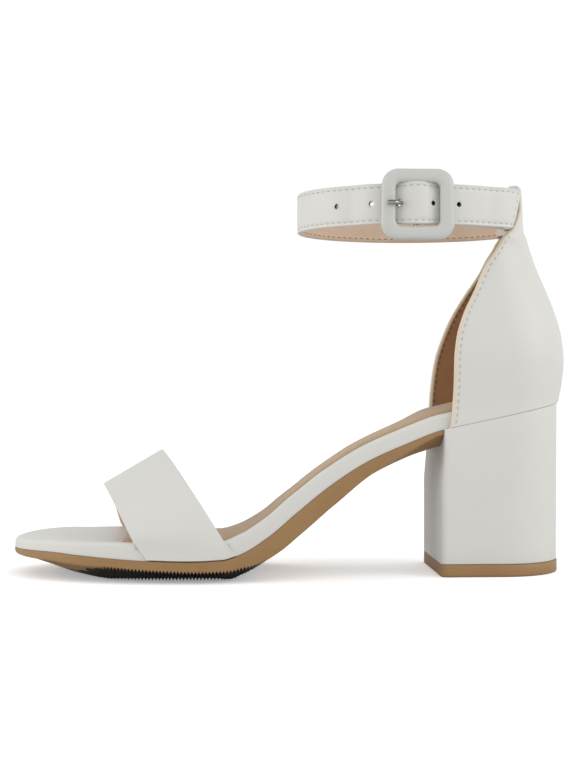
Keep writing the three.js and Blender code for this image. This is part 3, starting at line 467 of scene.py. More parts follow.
def drawn_in(x, front, back, down):
    """Room for the band beside the rim: 0 away from it, 1 under it, reached 2.4 mm in from its edges."""
    start, end = front + BAND_SLANT * down, back + BAND_SLANT * down
    rise = np.clip((x - start - 0.4) / 2, 0, 1)
    fall = np.clip((end - x - 0.4) / 2, 0, 1)
    return rise * fall


TOP_RADIUS, BOTTOM_RADIUS, PRESSED = 1.7, 0.2, 0.26
quarter_round = [(1 - math.cos(a), 1 - math.sin(a)) for a in np.linspace(0, math.pi / 2, 8)]
board_rings = [(inset * BOTTOM_RADIUS, 0, rise * BOTTOM_RADIUS - PRESSED) for rise, inset in quarter_round]
board_rings += [(0.0, share, 0.0) for share in (0.15, 0.3, 0.45)]
board_rings += [(inset * TOP_RADIUS, 1, -drop * TOP_RADIUS) for drop, inset in reversed(quarter_round)]
board_rings += [(2.3, 1, 0.02), (3.2, 1, 0.05), (4.4, 1, 0.05)]
room = BAND_WALL + CLEARANCE - BAND_PROUD


board_x = np.unique(np.round(np.concatenate([
    stations(TOE_X, HEEL_TO_BACK, 150),
    np.arange(-160, -104, 0.25),
]), 3))
board_sides = outline(board_x)
toe_flush = 0.45 * np.clip((-176 - board_x) / 16, 0, 1)
loops = []
for inset, share, offset in board_rings:
    outer_room = drawn_in(board_x, BAND_OUTER_FRONT, BAND_OUTER_BACK, 1 - share) * room
    inner_room = drawn_in(board_x, BAND_INNER_FRONT, BAND_INNER_BACK, 1 - share) * room
    outer = inset_outline(board_sides, inset + outer_room - toe_flush)[0]
    inner = inset_outline(board_sides, inset + inner_room - toe_flush)[1]
    loop = np.vstack([outer, inner[::-1]])
    low = board_bottom(loop[:, 0], loop[:, 1])
    high = board_top(loop[:, 0], loop[:, 1])
    loops.append(np.column_stack([loop, mix(low, high, share) + offset]))
faces = layer_faces(len(loops), 2 * len(board_x))
board = make_piece("insole_board_wrapped", np.vstack(loops), faces, [white_leather])
finish_piece(board, "white_leather", "insole_platform")

# %% [markdown]
# ## Outsole
# A rubber sole with a crowned underside that stands on the floor at the ball. The tread is a comb of
# fine ribs across the sole, 1.35 mm apart, sharp below and wide above. They run out over the lower
# edge and are part of the mesh itself, so the edge looks toothed from the side as well, which a bump
# could not do. Round the ball the underside is painted nearly black: painted contact shadow.

# %% Outsole
RIB_PITCH, RIB_DEPTH = 1.35, 1.25
TREAD_START, TREAD_END = -168.0, -98.0


def ribbed(height, share):
    """Raises a height function between the ribs, which are sharp below and wide above."""
    def value(x, y):
        fade = np.clip((x - TREAD_START) / 12, 0, 1) * np.clip((TREAD_END - x) / 8, 0, 1)
        groove = 2 * np.abs(x / RIB_PITCH - np.round(x / RIB_PITCH))
        return height(x, y) + RIB_DEPTH * share * fade * groove
    return value


def between(low, high, share):
    return lambda x, y: mix(low(x, y), high(x, y), share)


def outsole_top(x, y):
    return board_bottom(x, y) - CLEARANCE


outsole_x = np.unique(np.round(np.concatenate([
    stations(TOE_X, OUTSOLE_END, 130),
    np.arange(TREAD_START, TREAD_END, RIB_PITCH / 6),
]), 3))
outsole_x = outsole_x[np.concatenate([[True], np.diff(outsole_x) > 0.004])]
edge_r, crown = 1.4, 13
side_rings = [  # inset, share of the way down, share of the ribs' depth
    (0.15, 0.0, 0), (0.0, 0.03, 0), (0.0, 0.3, 0), (0.0, 0.6, 0), (0.0, 0.78, 0.1), (0.06, 0.9, 0.5),
    (0.15, 1.0, 1),
]
rings = [(inset, ribbed(between(outsole_top, outsole_side, share), ribs))
         for inset, share, ribs in side_rings]
for inset_share, share in ((0.0, 0.1), (0.12, 0.22), (0.3, 0.5), (0.5, 0.72), (0.75, 0.92), (1.0, 1.0)):
    rings.append((mix(edge_r, crown, inset_share), ribbed(between(outsole_side, outsole_middle, share), 1)))
points, faces = sole_layer(outsole_x, rings, grow=0.5)
centres = np.array([points[face].mean(axis=0) for face in faces])
side_faces = (len(side_rings) - 1) * 2 * len(outsole_x)
top_strip = len(faces) - 2 * (len(outsole_x) - 1)
ring_number = np.arange(len(faces)) // (2 * len(outsole_x)) - len(side_rings) + 1
# Underside faces round the ball are painted nearly black as contact shadow. The sides and the top strip stay
# tan.
shadow_start = TREAD_START + 9 - 3.5 * np.clip(ring_number, 0, 6)  # further forward towards the middle
is_painted_shadow = (centres[:, 0] > shadow_start) & (centres[:, 0] < TREAD_END)
is_painted_shadow[:side_faces] = False
is_painted_shadow[top_strip:top_strip + len(outsole_x) - 1] = False
outsole = make_piece("outsole_moulded", points, faces, [tan_rubber, contact_shadow_rubber], is_painted_shadow, 50)
finish_piece(outsole, "tan_rubber", "outsole")

# %% [markdown]
# ## Padded sock
# The sock is soft sheep leather over thin latex foam, thicker under the heel. Foam swells most away
# from the glued edge, so its height is a quarter round at the edge plus a slow rise over 9 mm. A cloth
# simulation would give the same puff, but a formula keeps the edge exactly where the margin is.

# %% Sock
SOCK_MARGIN, SOCK_TOE = 2.2, TOE_X + 45.7
sock_edges = np.array([0, 0.1, 0.3, 0.6, 1.0, 1.6, 2.6, 4, 6, 8])
sock_x = np.unique(np.round(np.concatenate([
    SOCK_TOE + sock_edges, stations(SOCK_TOE, HEEL_TO_BACK, 150)[1:],
]), 3))


def sock_height(inset):
    def value(x, y):
        full = SOCK + profile["pad"](along_of(x)) * HEEL_PAD
        edge = np.minimum(inset, x - SOCK_TOE)
        quarter = np.sqrt(np.clip(1 - (1 - np.clip(edge / 1.0, 0, 1)) ** 2, 0, 1))
        slow = np.clip(edge / 9, 0, 1)
        puff = 0.52 * quarter + 0.48 * slow * (2 - slow)
        return board_top(x, y) + CLEARANCE * 0.3 + full * puff
    return value


sock_rings = [(0, lambda x, y: board_top(x, y) + CLEARANCE * 0.25)]
sock_rings += [(inset, sock_height(inset)) for inset in (0, 0.1, 0.3, 0.6, 1.0, 1.8, 3, 5, 7, 9, 12)]
points, faces = sole_layer(sock_x, sock_rings, grow=-SOCK_MARGIN)
sock = make_piece("sock_padded", points, faces, [sock_leather], sharp_degrees=80)
finish_piece(sock, "beige_lining", "sock")

# %% [markdown]
# ## Toe band
# One wide band of white leather with a thin lining, cut clean and painted cream along both edges. Its
# middle line is an arch over the toes, and both ends run straight down over the rim. The mesh is a
# strip swept from foot to foot, and its closed cross-section has the leather's real thickness. A single
# sheet with a Solidify modifier would do too, but then its cut edges would be sharp, and here they are
# a little rounded.

# %% Toe band
BAND_BASE = float(board_top(mix(BAND_OUTER_FRONT, BAND_OUTER_BACK, 0.4), -HALF_BALL))


def band_point(angle, share):
    across = (1 - np.cos(angle)) / 2
    curve = BAND_INNER_CURVE * np.maximum(0, -np.sin(2 * angle))
    front = mix(BAND_OUTER_FRONT, BAND_INNER_FRONT, across) - 9.5 * np.sin(angle) + curve
    back = mix(BAND_OUTER_BACK, BAND_INNER_BACK, across) - 20.9 * np.sin(angle)
    outer = half_widths(mix(BAND_OUTER_FRONT, BAND_OUTER_BACK, share))[0] + BAND_PROUD
    inner = half_widths(mix(BAND_INNER_FRONT, BAND_INNER_BACK, share))[1] + BAND_PROUD
    height = mix(20.3, 34.4, share)
    side, rise = mix(-outer, inner, across), height * np.sin(angle)
    return np.stack([mix(front, back, share), side, BAND_BASE + rise], -1)


def band_foot(is_inner, share, down):
    top = band_point(math.pi if is_inner else 0.0, share)
    x = top[..., 0] + BAND_SLANT * down
    outer, inner = half_widths(x)
    y = inner + BAND_PROUD if is_inner else -outer - BAND_PROUD
    foot = board_bottom(x, y) + CLEARANCE
    return np.stack([x, mix(top[..., 1], y, down), mix(BAND_BASE, foot, down)], -1)


band_shares = np.array([0, 0.008, 0.02, 0.05, *np.linspace(0.1, 0.9, 17), 0.95, 0.98, 0.992, 1])
rows = [band_foot(False, band_shares, down) for down in (1, 0.75, 0.5, 0.25)]
rows += [band_point(angle, band_shares) for angle in np.linspace(0, math.pi, 97)]
rows += [band_foot(True, band_shares, down) for down in (0.25, 0.5, 0.75, 1)]
band_grid = np.array(rows)


def grid_normals(grid):
    along, across = np.gradient(grid, axis=0), np.gradient(grid, axis=1)
    normal = np.cross(across, along)
    return normal / (np.linalg.norm(normal, axis=2, keepdims=True) + 1e-12)


def thick_strip(grid, normals, wall, edge=0.3):
    """Closed loops across a strip: leather face, cut edge, lining face, cut edge. Also each face's kind."""
    n = grid.shape[1]
    order = [(c, 0.0) for c in range(1, n - 1)] + [(n - 1, edge), (n - 1, wall - edge)]
    order += [(c, wall) for c in range(n - 2, 0, -1)] + [(0, wall - edge), (0, edge)]
    loops = np.stack([grid[:, c] - normals[:, c] * depth for c, depth in order], axis=1)
    kinds = []
    for k, (c, depth) in enumerate(order):
        after = order[(k + 1) % len(order)]
        if depth >= wall - edge and after[1] >= wall - edge:
            kinds.append(2)
        elif depth >= edge and after[1] >= edge:
            kinds.append(1)
        else:
            kinds.append(0)
    return loops, kinds


def strip_piece(name, loops, kinds, materials, sharp_degrees=50):
    rows, columns = loops.shape[:2]
    faces = sweep_faces(rows, columns)
    pairs = [(i, (columns - 3 - i) % columns) for i in range(-2, columns // 2 - 2)]
    pairs = [((i + columns) % columns, j) for i, j in pairs]
    ends = end_strip(0, pairs) + end_strip((rows - 1) * columns, pairs)
    material = list(kinds) * (rows - 1) + [1] * len(ends)
    return make_piece(name, loops.reshape(-1, 3), faces + ends, materials, material, sharp_degrees)


band_loops, band_kinds = thick_strip(band_grid, grid_normals(band_grid), BAND_WALL)
band = strip_piece("toe_band", band_loops, band_kinds, [white_leather, cream_edge, strap_lining])
finish_piece(band, "white_leather", "vamp_strap")

# %% [markdown]
# ## Heel block and top lift
# The heel is a moulded block with leather wrapped round it. The leather's ends meet in an overlapped
# seam down the flat breast, where nobody looks. The tan top lift under it is a slice of the same
# outline, with its lower edge a little rounded. One outline function serves both, so that they line up,
# and the heel's top ring lies along the sloping seat, which a bevelled cube would not follow.

# %% Heel
HEEL_HALF, HEEL_BACK = HALF_SEAT + CLEARANCE + 2, HEEL_TO_BACK + CLEARANCE + 2
HEEL_TAPER, LIFT_HEIGHT, BREAST_LEAN = 0.3, 5.0, 1.1


def heel_outline(shrink, lean, seam=0.0):
    half, back, front, corner = HEEL_HALF - shrink, HEEL_BACK - shrink, HEEL_FRONT - BREAST_LEAN * lean, 2.5
    points = []
    for y in np.linspace(half - corner, -(half - corner), 61):
        step = seam * (1 / (1 + math.exp((y - 3.5) * 6)) - 0.5)
        crease = seam * 0.6 * math.exp(-((y + half - 5.5) / 0.7) ** 2)
        points.append((front - step * 0.6 + crease + seam * 0.3, y))
    for i in range(1, 9):
        angle = math.pi / 2 * i / 8
        points.append((front + corner * (1 - math.cos(angle)), -half + corner * (1 - math.sin(angle))))
    points += [(x, -half) for x in np.linspace(front + corner, 0, 12)[1:]]
    points += [(back * math.sin(a), -half * math.cos(a)) for a in np.linspace(0, math.pi, 61)[1:]]
    points += [(x, half) for x in np.linspace(0, front + corner, 12)[1:]]
    for i in range(1, 8):
        angle = math.pi / 2 * (1 - i / 8)
        points.append((front + corner * (1 - math.cos(angle)), half - corner * (1 - math.sin(angle))))
    return np.array(points)


def heel_skin(rings):
    loops = []
    for shrink, lean, height, seam in rings:
        flat = heel_outline(shrink, lean, seam)
        loops.append(np.column_stack([flat, height(flat[:, 0])]))
    return np.vstack(loops), capped_faces(len(loops), len(loops[0]))


def level(z):
    return lambda x: np.full_like(x, z)


def under_seat(drop):
    return lambda x: seat_line(x) - CLEARANCE - drop


heel_low = LIFT_HEIGHT + 0.1
heel_rings = [  # shrink, lean, height, seam
    (HEEL_TAPER + 0.35, 1, level(heel_low), 0.0), (HEEL_TAPER + 0.08, 1, level(heel_low + 0.12), 0.3),
    (HEEL_TAPER, 1, level(heel_low + 0.45), 0.5),
]
for share in np.linspace(0.1, 0.9, 17):
    taper = HEEL_TAPER * float(np.interp(share, [0, 0.6, 1], [1, 0.3, 0]))
    lean = float(np.interp(share, [0.6, 0.84], [1, 0]))
    heel_rings.append((taper, lean, lambda x, s=share: mix(heel_low, seat_line(x), s), 0.5))
heel_rings += [(0.0, 0, under_seat(0.3), 0.4), (0.03, 0, under_seat(0.0), 0.3),
               (0.15, 0, under_seat(-0.18), 0.0)]
points, faces = heel_skin(heel_rings)
heel = make_piece("heel_block_wrapped", points, faces, [white_leather], sharp_degrees=60)
finish_piece(heel, "white_leather", "heel_block")

lift_steps = [(0.75, 0.0), (0.3, 0.12), (0.05, 0.55), (0.0, 1.0), (0.0, 4.75), (0.12, 4.95), (0.3, 5.0)]
points, faces = heel_skin([(shrink, 1, level(z), 0) for shrink, z in lift_steps])
lift = make_piece("top_lift_rubber", points, faces, [tan_rubber], sharp_degrees=60)
finish_piece(lift, "tan_rubber", "top_lift")

# %% [markdown]
# ## The ankle strap's path
# The strap is one long ribbon. It starts folded round the buckle's bar, runs forward round the ankle,
# back along the inner side, through the tunnel at the heel, out over its own start, under and over
# the buckle frame, and ends in a slanted tip. Two half ellipses give the loop, and a table gives how
# far the ribbon lies outside it at each turn. A curve drawn by hand could do this, but the layers are
# only 0.3 mm apart, and a table keeps them so.

# %% Strap path
STRAP_WIDTH, STRAP_WALL = 15.9, 1.8
LOOP_CENTRE, LOOP_BACK, LOOP_FRONT, LOOP_HALF = -38.0, 47.3, 43.0, 30.0
COUNTER_HEIGHT, FOLD_WALL = 94.0, 1.2
STRAP_Z = SEAT_HEIGHT + COUNTER_HEIGHT - 2.45 - STRAP_WIDTH / 2
BUCKLE_X, BUCKLE_LENGTH, BUCKLE_HEIGHT = -37.1, 29.0, 27.5
WINDOW_LENGTH, WINDOW_HEIGHT, BUCKLE_DEPTH = 17.4, 16.5, 4.2
BAR, PRONG, PRONG_REACH = 2.0, 1.7, 12.1
LAYER = STRAP_WALL + CLEARANCE
OVER_TAB = LAYER + FOLD_WALL + CLEARANCE * 3
FRAME_BACK = STRAP_WALL * 0.75 + CLEARANCE * 3
FRAME_Y = -LOOP_HALF - FRAME_BACK - BUCKLE_DEPTH / 2
BAR_Y = FRAME_Y + BAR / 2
BAR_LIFT = -BAR_Y - LOOP_HALF
OVER_BAR = BAR_LIFT + BAR / 2 + CLEARANCE + STRAP_WALL / 2
UNDER_FRAME = FRAME_BACK - CLEARANCE
MEMBER = (BUCKLE_LENGTH - WINDOW_LENGTH) / 2


def turn_at(x):
    reach = LOOP_BACK if x > LOOP_CENTRE else LOOP_FRONT
    return math.degrees(math.acos((x - LOOP_CENTRE) / reach))


bar_turn = turn_at(BUCKLE_X)
front_turn = turn_at(BUCKLE_X - (BUCKLE_LENGTH - MEMBER) / 2)
back_turn = turn_at(BUCKLE_X + (BUCKLE_LENGTH - MEMBER) / 2)
TIP = 360 - turn_at(LOOP_CENTRE + LOOP_BACK - 5.8)
strap_rows = [  # turn, lift, low, high
    (-bar_turn - 3.4, BAR_LIFT, 1, 1), (-bar_turn - 2.6, BAR_LIFT * 0.58, 1, 1),
    (-bar_turn + 0.5, BAR_LIFT * 0.34, 1, 1), (-bar_turn + 7, BAR_LIFT * 0.12, 1, 1),
    (-bar_turn + 14, 0, 1, 1), (90, 0, 1, 1), (235, 0, 1, 1),
    (360 - front_turn - 6, UNDER_FRAME, 1, 1), (360 - front_turn + 2, UNDER_FRAME, 1, 1),
    (360 - bar_turn, OVER_BAR, 1.05, 1.05), (360 - back_turn - 2, LAYER, 1, 1),
    (360 - back_turn + 6, LAYER, 1, 1), (TIP - 24, LAYER * 1.1, 1, 1), (TIP - 8, OVER_TAB, 1, 1),
    (TIP - 7, OVER_TAB, 0.86, 1), (TIP - 4.3, OVER_TAB, 0.4, 1),
    (TIP - 1.5, OVER_TAB, -0.3, 0.98), (TIP, OVER_TAB, -0.72, 0.86),
]
strap = table_curves(("turn", "lift", "low", "high"), strap_rows)


def strap_middle(turn):
    angle = np.radians(turn)
    reach = np.where(np.cos(angle) > 0, LOOP_BACK, LOOP_FRONT)
    normal = np.stack([np.cos(angle) / reach, np.sin(angle) / LOOP_HALF], -1)
    normal /= np.linalg.norm(normal, axis=-1, keepdims=True)
    lift = strap["lift"](turn)
    x = LOOP_CENTRE + reach * np.cos(angle) + normal[..., 0] * lift
    y = LOOP_HALF * np.sin(angle) + normal[..., 1] * lift
    return np.stack([x, y, STRAP_Z - 1.4 * (y + LOOP_HALF) / (2 * LOOP_HALF)], -1)


def strap_out(turn):
    before, after = strap_middle(turn - 0.3), strap_middle(turn + 0.3)
    out = np.stack([after[..., 1] - before[..., 1], before[..., 0] - after[..., 0]], -1)
    out /= np.linalg.norm(out, axis=-1, keepdims=True)
    return np.concatenate([out, np.zeros(out.shape[:-1] + (1,))], -1)


first_turn, last_turn = strap_rows[0][0], strap_rows[-1][0]
strap_path = strap_middle(np.linspace(first_turn, last_turn, 900))
strap_length = np.linalg.norm(np.diff(strap_path, axis=0), axis=1).sum()
print(f"strap is {strap_length:.0f} mm long")

# %% [markdown]
# ## Strap mesh
# Two plies, white leather outside and pale lining inside, sewn together 1.5 mm from each edge. The
# thread pulls the leather down, so the cross-section has a shallow groove under each seam, a small
# roll outside it, and a soft crown between the two seams.

# %% Strap
SEAM_INSET = 1.5
across_mm = np.array([0, 0.25, 0.7, 1.15, 1.5, 1.85, 2.3, 3.2, 4.6, 6.2])
strap_columns = np.concatenate([across_mm / STRAP_WIDTH, [0.5], 1 - across_mm[::-1] / STRAP_WIDTH])


def groove(distance, width=0.42, depth=0.2):
    return depth * np.exp(-(distance / width) ** 2)


def strap_relief(share):
    edge = np.minimum(share, 1 - share) * STRAP_WIDTH
    crown = 0.1 * np.clip((edge - SEAM_INSET) / 4, 0, 1) ** 0.6
    return crown - groove(edge - SEAM_INSET)


turns = np.unique(np.round(np.concatenate([
    np.linspace(first_turn, last_turn, 420), np.linspace(TIP - 8, TIP, 60),
]), 3))
middle, out = strap_middle(turns), strap_out(turns)
low = middle[:, 2] - STRAP_WIDTH / 2 * strap["low"](turns)
high = middle[:, 2] + STRAP_WIDTH / 2 * strap["high"](turns)
relief = strap_relief(strap_columns)
face = middle[:, None, :] + out[:, None, :] * (STRAP_WALL / 2 + relief[None, :, None])
face[:, :, 2] = low[:, None] + (high - low)[:, None] * strap_columns[None, :]
strap_normals = np.repeat(out[:, None, :], len(strap_columns), axis=1)
strap_loops, strap_kinds = thick_strip(face, strap_normals, STRAP_WALL)
strap_kinds = [0 if kind == 1 else kind for kind in strap_kinds]
ankle_strap = strip_piece("ankle_strap_sewn", strap_loops, strap_kinds,
                          [white_leather, cream_edge, strap_lining, hole_wall_shade])
print("strap faces", len(ankle_strap.data.polygons))

# %% [markdown]
# ## Punched holes
# Five round holes for the prong, 12 mm apart, punched by hand and so not quite evenly. A boolean cut
# with a small cylinder gives each one a clean wall, and the cylinder's own dark material passes to that
# wall: painted shade inside the hole, nearly black. The hole in use is worn wider.

# %% Holes
def cylinder(name, radius, length, sides, matrix_rows, centre, material):
    """A plain cylinder along its third axis. matrix_rows are its axes."""
    angles = np.linspace(0, 2 * math.pi, sides, endpoint=False)
    ring = np.stack([np.cos(angles) * radius, np.sin(angles) * radius], 1)
    ends = [np.column_stack([ring, np.full(sides, z)]) for z in (-length / 2, length / 2)]
    points = np.vstack(ends) @ np.array(matrix_rows) + np.array(centre)
    return make_piece(name, points, capped_faces(2, sides), [material])


def cut(piece, cutter):
    step = piece.modifiers.new("cut", "BOOLEAN")
    step.operation, step.object, step.solver = "DIFFERENCE", cutter, "EXACT"
    step.material_mode = "TRANSFER"
    graph = bpy.context.evaluated_depsgraph_get()
    mesh = bpy.data.meshes.new_from_object(piece.evaluated_get(graph))
    piece.modifiers.clear()
    piece.data = mesh
    bpy.data.objects.remove(cutter)


HOLE_PITCH = 11.9
prong_hole_x = BUCKLE_X - PRONG_REACH * 0.5095
WORN_HOLE, NEW_HOLE = 1.3, 0.95
for step, shift in ((-2, 0), (-1, 1.4), (0, 0), (1, 0), (2, -1.2)):
    hole_turn = np.array([360 - turn_at(prong_hole_x + step * HOLE_PITCH + shift)])
    centre, axis = strap_middle(hole_turn)[0], strap_out(hole_turn)[0]
    side = np.cross((0, 0, 1), axis)
    radius = WORN_HOLE if step == 0 else NEW_HOLE
    axes = [side, (0, 0, 1), axis]
    cut(ankle_strap, cylinder("punch", radius, STRAP_WALL + 0.5, 20, axes, centre, hole_wall_shade))
finish_piece(ankle_strap, "white_leather", "ankle_strap")

# %% [markdown]
# ## Heel counter
# The counter is one wall that wraps the heel and rises into a narrow tab. At the top the leather folds
# over to the inside and is sewn down, which leaves a tunnel for the strap. Its table gives, for each
# height, how far back the wall reaches, how wide it is, and where its two front edges are.

# %% Counter tables
HEEL_LENGTH = HEEL_BACK - HEEL_FRONT
COUNTER_WALL, COUNTER_TOP = 2.0, SEAT_HEIGHT + COUNTER_HEIGHT
TAB = (2 * FOLD_WALL + STRAP_WALL + 2 * CLEARANCE) / COUNTER_WALL
loop_outside = STRAP_WALL / 2 + CLEARANCE + FOLD_WALL
loop_middle, loop_half = LOOP_CENTRE / HEEL_LENGTH, (LOOP_HALF + loop_outside) / HEEL_HALF
tab_back = (LOOP_BACK + LOOP_CENTRE + loop_outside) / HEEL_LENGTH
counter = table_curves(("height", "back", "middle", "half", "front", "inner", "wall"), [
    (-0.12, 0.510, 0.00, 1.000, -0.478, -0.480, 1), (-0.015, 0.515, 0.00, 1.000, -0.436, -0.472, 1),
    (0.05, 0.521, 0.00, 1.000, -0.425, -0.465, 1), (0.13, 0.549, 0.00, 1.015, -0.417, -0.450, 1),
    (0.24, 0.569, 0.00, 1.030, -0.413, -0.417, 1), (0.335, 0.553, -0.01, 1.010, -0.393, -0.363, 1),
    (0.43, 0.506, -0.04, 0.960, -0.338, -0.290, 1), (0.535, 0.433, -0.10, 0.885, -0.242, -0.179, 1),
    (0.64, 0.348, -0.18, 0.835, -0.153, -0.048, 1), (0.713, 0.299, -0.34, 0.900, -0.052, 0.028, 1.0),
    (0.745, 0.280, -0.50, 1.020, -0.016, 0.070, 1.05),
    (0.775, 0.262, loop_middle, loop_half, 0.026, 0.104, 1.1),
    (0.788, 0.250, loop_middle, loop_half, 0.056, 0.122, 1.15),
    (0.797, tab_back + 0.010, loop_middle, loop_half, 0.080, 0.132, TAB),
    (0.85, tab_back, loop_middle, loop_half, 0.146, 0.146, TAB),
    (0.91, tab_back - 0.004, loop_middle, loop_half, 0.186, 0.186, TAB),
    (1.00, tab_back - 0.014, loop_middle, loop_half, 0.162, 0.188, TAB),
])


def counter_face(side, from_edge, share, z, inset):
    """side: -1 outer, 1 inner. from_edge: millimetres in from that side's front edge. share: how much
    of the rest of the way to the middle of the back."""
    height = (z - SEAT_HEIGHT) / COUNTER_HEIGHT
    back, middle = counter["back"](height) * HEEL_LENGTH, counter["middle"](height) * HEEL_LENGTH
    half = counter["half"](height) * HEEL_HALF
    front = np.where(side < 0, counter["front"](height), counter["inner"](height)) * HEEL_LENGTH
    reach, straight = back - middle, middle - front
    curved_end = np.arccos(np.clip(-straight / reach, -1, 1))
    end = np.where(straight > 0, math.pi / 2 + straight / half, curved_end)
    speed = np.where(straight > 0, half, np.hypot(reach * np.sin(curved_end), half * np.cos(curved_end)))
    angle = side * (end - from_edge / speed) * (1 - share)
    past = np.maximum(0, np.abs(angle) - math.pi / 2)
    curved = np.sign(angle) * np.minimum(np.abs(angle), math.pi / 2)
    normal = np.stack([np.cos(curved) / reach, np.sin(curved) / half], -1)
    normal /= np.linalg.norm(normal, axis=-1, keepdims=True)
    x = middle + reach * np.cos(curved) - past * half - normal[..., 0] * inset
    y = half * np.sin(curved) - normal[..., 1] * inset
    return np.stack([x, y, z + 0 * x], -1), np.concatenate([normal, 0 * x[..., None]], -1)


# %% [markdown]
# ## Counter mesh
# Each level is a closed loop: the outer face from one front edge round the back to the other, the cut
# edge, the inner face back again. Columns crowd together near the front edges, where a seam 2 mm in
# leaves a groove and a soft roll. The cut edge is painted cream, and the paint runs a little way onto
# the leather. The top rounds over as the fold does. Sculpting could give the shape, but not a seam at an
# even distance from a slanting edge.

# %% Columns and levels of the counter
COUNTER_SEAM, FOLD_LEVEL, PAINT_MARGIN = 2.0, 0.797, 1.31
near_mm = np.array([0.0, 0.35, 0.8, 1.3, 1.65, 2.0, 2.35, 2.8, 3.6, 5.0])
rest = np.linspace(0, 1, 33)[1:]
side_column = np.concatenate([np.full(10, -1.0), np.full(32, -1.0), np.full(31, 1.0), np.full(10, 1.0)])
from_column = np.concatenate([near_mm, np.full(63, 5.0), near_mm[::-1]])
share_column = np.concatenate([np.zeros(10), rest, rest[-2::-1], np.zeros(10)])
half_columns = len(side_column)
near = np.where(share_column == 0, from_column, 9.0)
levels = np.concatenate([[0, 0.002, 0.006], np.linspace(0.015, 0.97, 78), np.linspace(0.781, 0.799, 8)])
levels = np.sort(levels)
roll = 1.0 / COUNTER_HEIGHT
crest_turns = np.linspace(0, math.pi / 2, 7)[1:]
levels = np.concatenate([levels[levels < 1 - roll], 1 - roll + roll * np.sin(crest_turns)])
crest = np.concatenate([np.zeros(len(levels) - 6), 1.4 * (1 - np.cos(crest_turns))])
base_tuck = np.concatenate([[0.12, 0.03, 0.0], np.zeros(len(levels) - 3)])

# %% Counter
outer_rows, inner_rows = [], []
for level_share, crest_inset, tuck in zip(levels, crest, base_tuck):
    top = COUNTER_TOP - 0.8 * share_column
    z = mix(SEAT_HEIGHT, top, level_share)
    for _ in range(6):
        x = counter_face(side_column, from_column, share_column, z, 0)[0][:, 0]
        z = mix(seat_line(x), top, level_share)
    wall = counter["wall"]((z - SEAT_HEIGHT) / COUNTER_HEIGHT) * COUNTER_WALL
    sunk = groove(near - COUNTER_SEAM, 0.45, 0.22)
    rounding = 0.35 * np.clip(1 - near / 0.35, 0, 1)
    outer_inset, inner_inset = crest_inset + tuck + sunk + rounding, wall - crest_inset - rounding
    outer_rows.append(counter_face(side_column, from_column, share_column, z, outer_inset)[0])
    inner_rows.append(counter_face(side_column, from_column, share_column, z, inner_inset)[0])
counter_loops = np.concatenate([np.array(outer_rows), np.array(inner_rows)[:, ::-1]], axis=1)
columns = counter_loops.shape[1]
faces = layer_faces(len(levels), columns)
margin = np.concatenate([near, near[::-1], near[:1]])
kinds = []
for level_share in levels[:-1]:
    for c in range(columns):
        is_painted = max(margin[c], margin[c + 1]) < PAINT_MARGIN and level_share < 0.95
        is_lining = c >= half_columns and level_share < FOLD_LEVEL
        kinds.append(1 if is_painted else (2 if is_lining else 0))
kinds += [0] * (len(faces) - len(kinds))
counter_piece = make_piece("heel_counter_sewn", counter_loops.reshape(-1, 3), faces,
                           [white_leather, cream_edge, counter_lining], kinds, 60)

# %% [markdown]
# ## Tunnel for the strap
# The strap slides in the fold with a little play. Its own path, swept once more with a slightly larger
# section, is cut out of the counter, so that the slot is sure to fit. Its walls take the cutter's cream.

# %% Tunnel
tunnel_turns = np.linspace(-50, 50, 61)
centre, out = strap_middle(tunnel_turns), strap_out(tunnel_turns)
tunnel_depth, tunnel_rise = STRAP_WALL / 2 + 0.28, STRAP_WIDTH / 2 + 0.3
corners = [(1, -1), (1, 1), (-1, 1), (-1, -1)]
tunnel_points = [c + o * s * tunnel_depth + np.array((0, 0, t * tunnel_rise))
                 for c, o in zip(centre, out) for s, t in corners]
tunnel = make_piece("tunnel", tunnel_points, capped_faces(len(tunnel_turns), 4), [cream_edge], None, 30)
cut(counter_piece, tunnel)
finish_piece(counter_piece, "white_leather", "heel_counter")

# %% [markdown]
# ## Covered buckle
# The frame is stamped metal covered in the same leather, so it is soft and puffy: a flattened tube
# bent into a square. Its section is a superellipse, rounder than a box and fuller than an ellipse. Two
# rounded contours, the outer one a little fuller below, guide it round. A curve with a bevel would have
# the same width everywhere, but here the corners are wider than the sides.

# %% Buckle frame
def power(value, exponent):
    return np.sign(value) * np.abs(value) ** exponent


def rounded_contour(width, height, radius):
    """Points round a rectangle with round corners. Two such contours pair up point by point."""
    corners = []
    for k, (sx, sz) in enumerate([(1, 1), (-1, 1), (-1, -1), (1, -1)]):
        a = math.pi / 2 * (k + np.linspace(0, 1, 13))
        corners.append(np.stack([sx * (width / 2 - radius) + radius * np.cos(a),
                                 sz * (height / 2 - radius) + radius * np.sin(a)], 1))
    points = []
    for k in range(4):
        points += list(corners[k])
        points += [mix(corners[k][-1], corners[(k + 1) % 4][0], t) for t in (0.12, 0.3, 0.5, 0.7, 0.88)]
    return np.array(points + [points[0]])


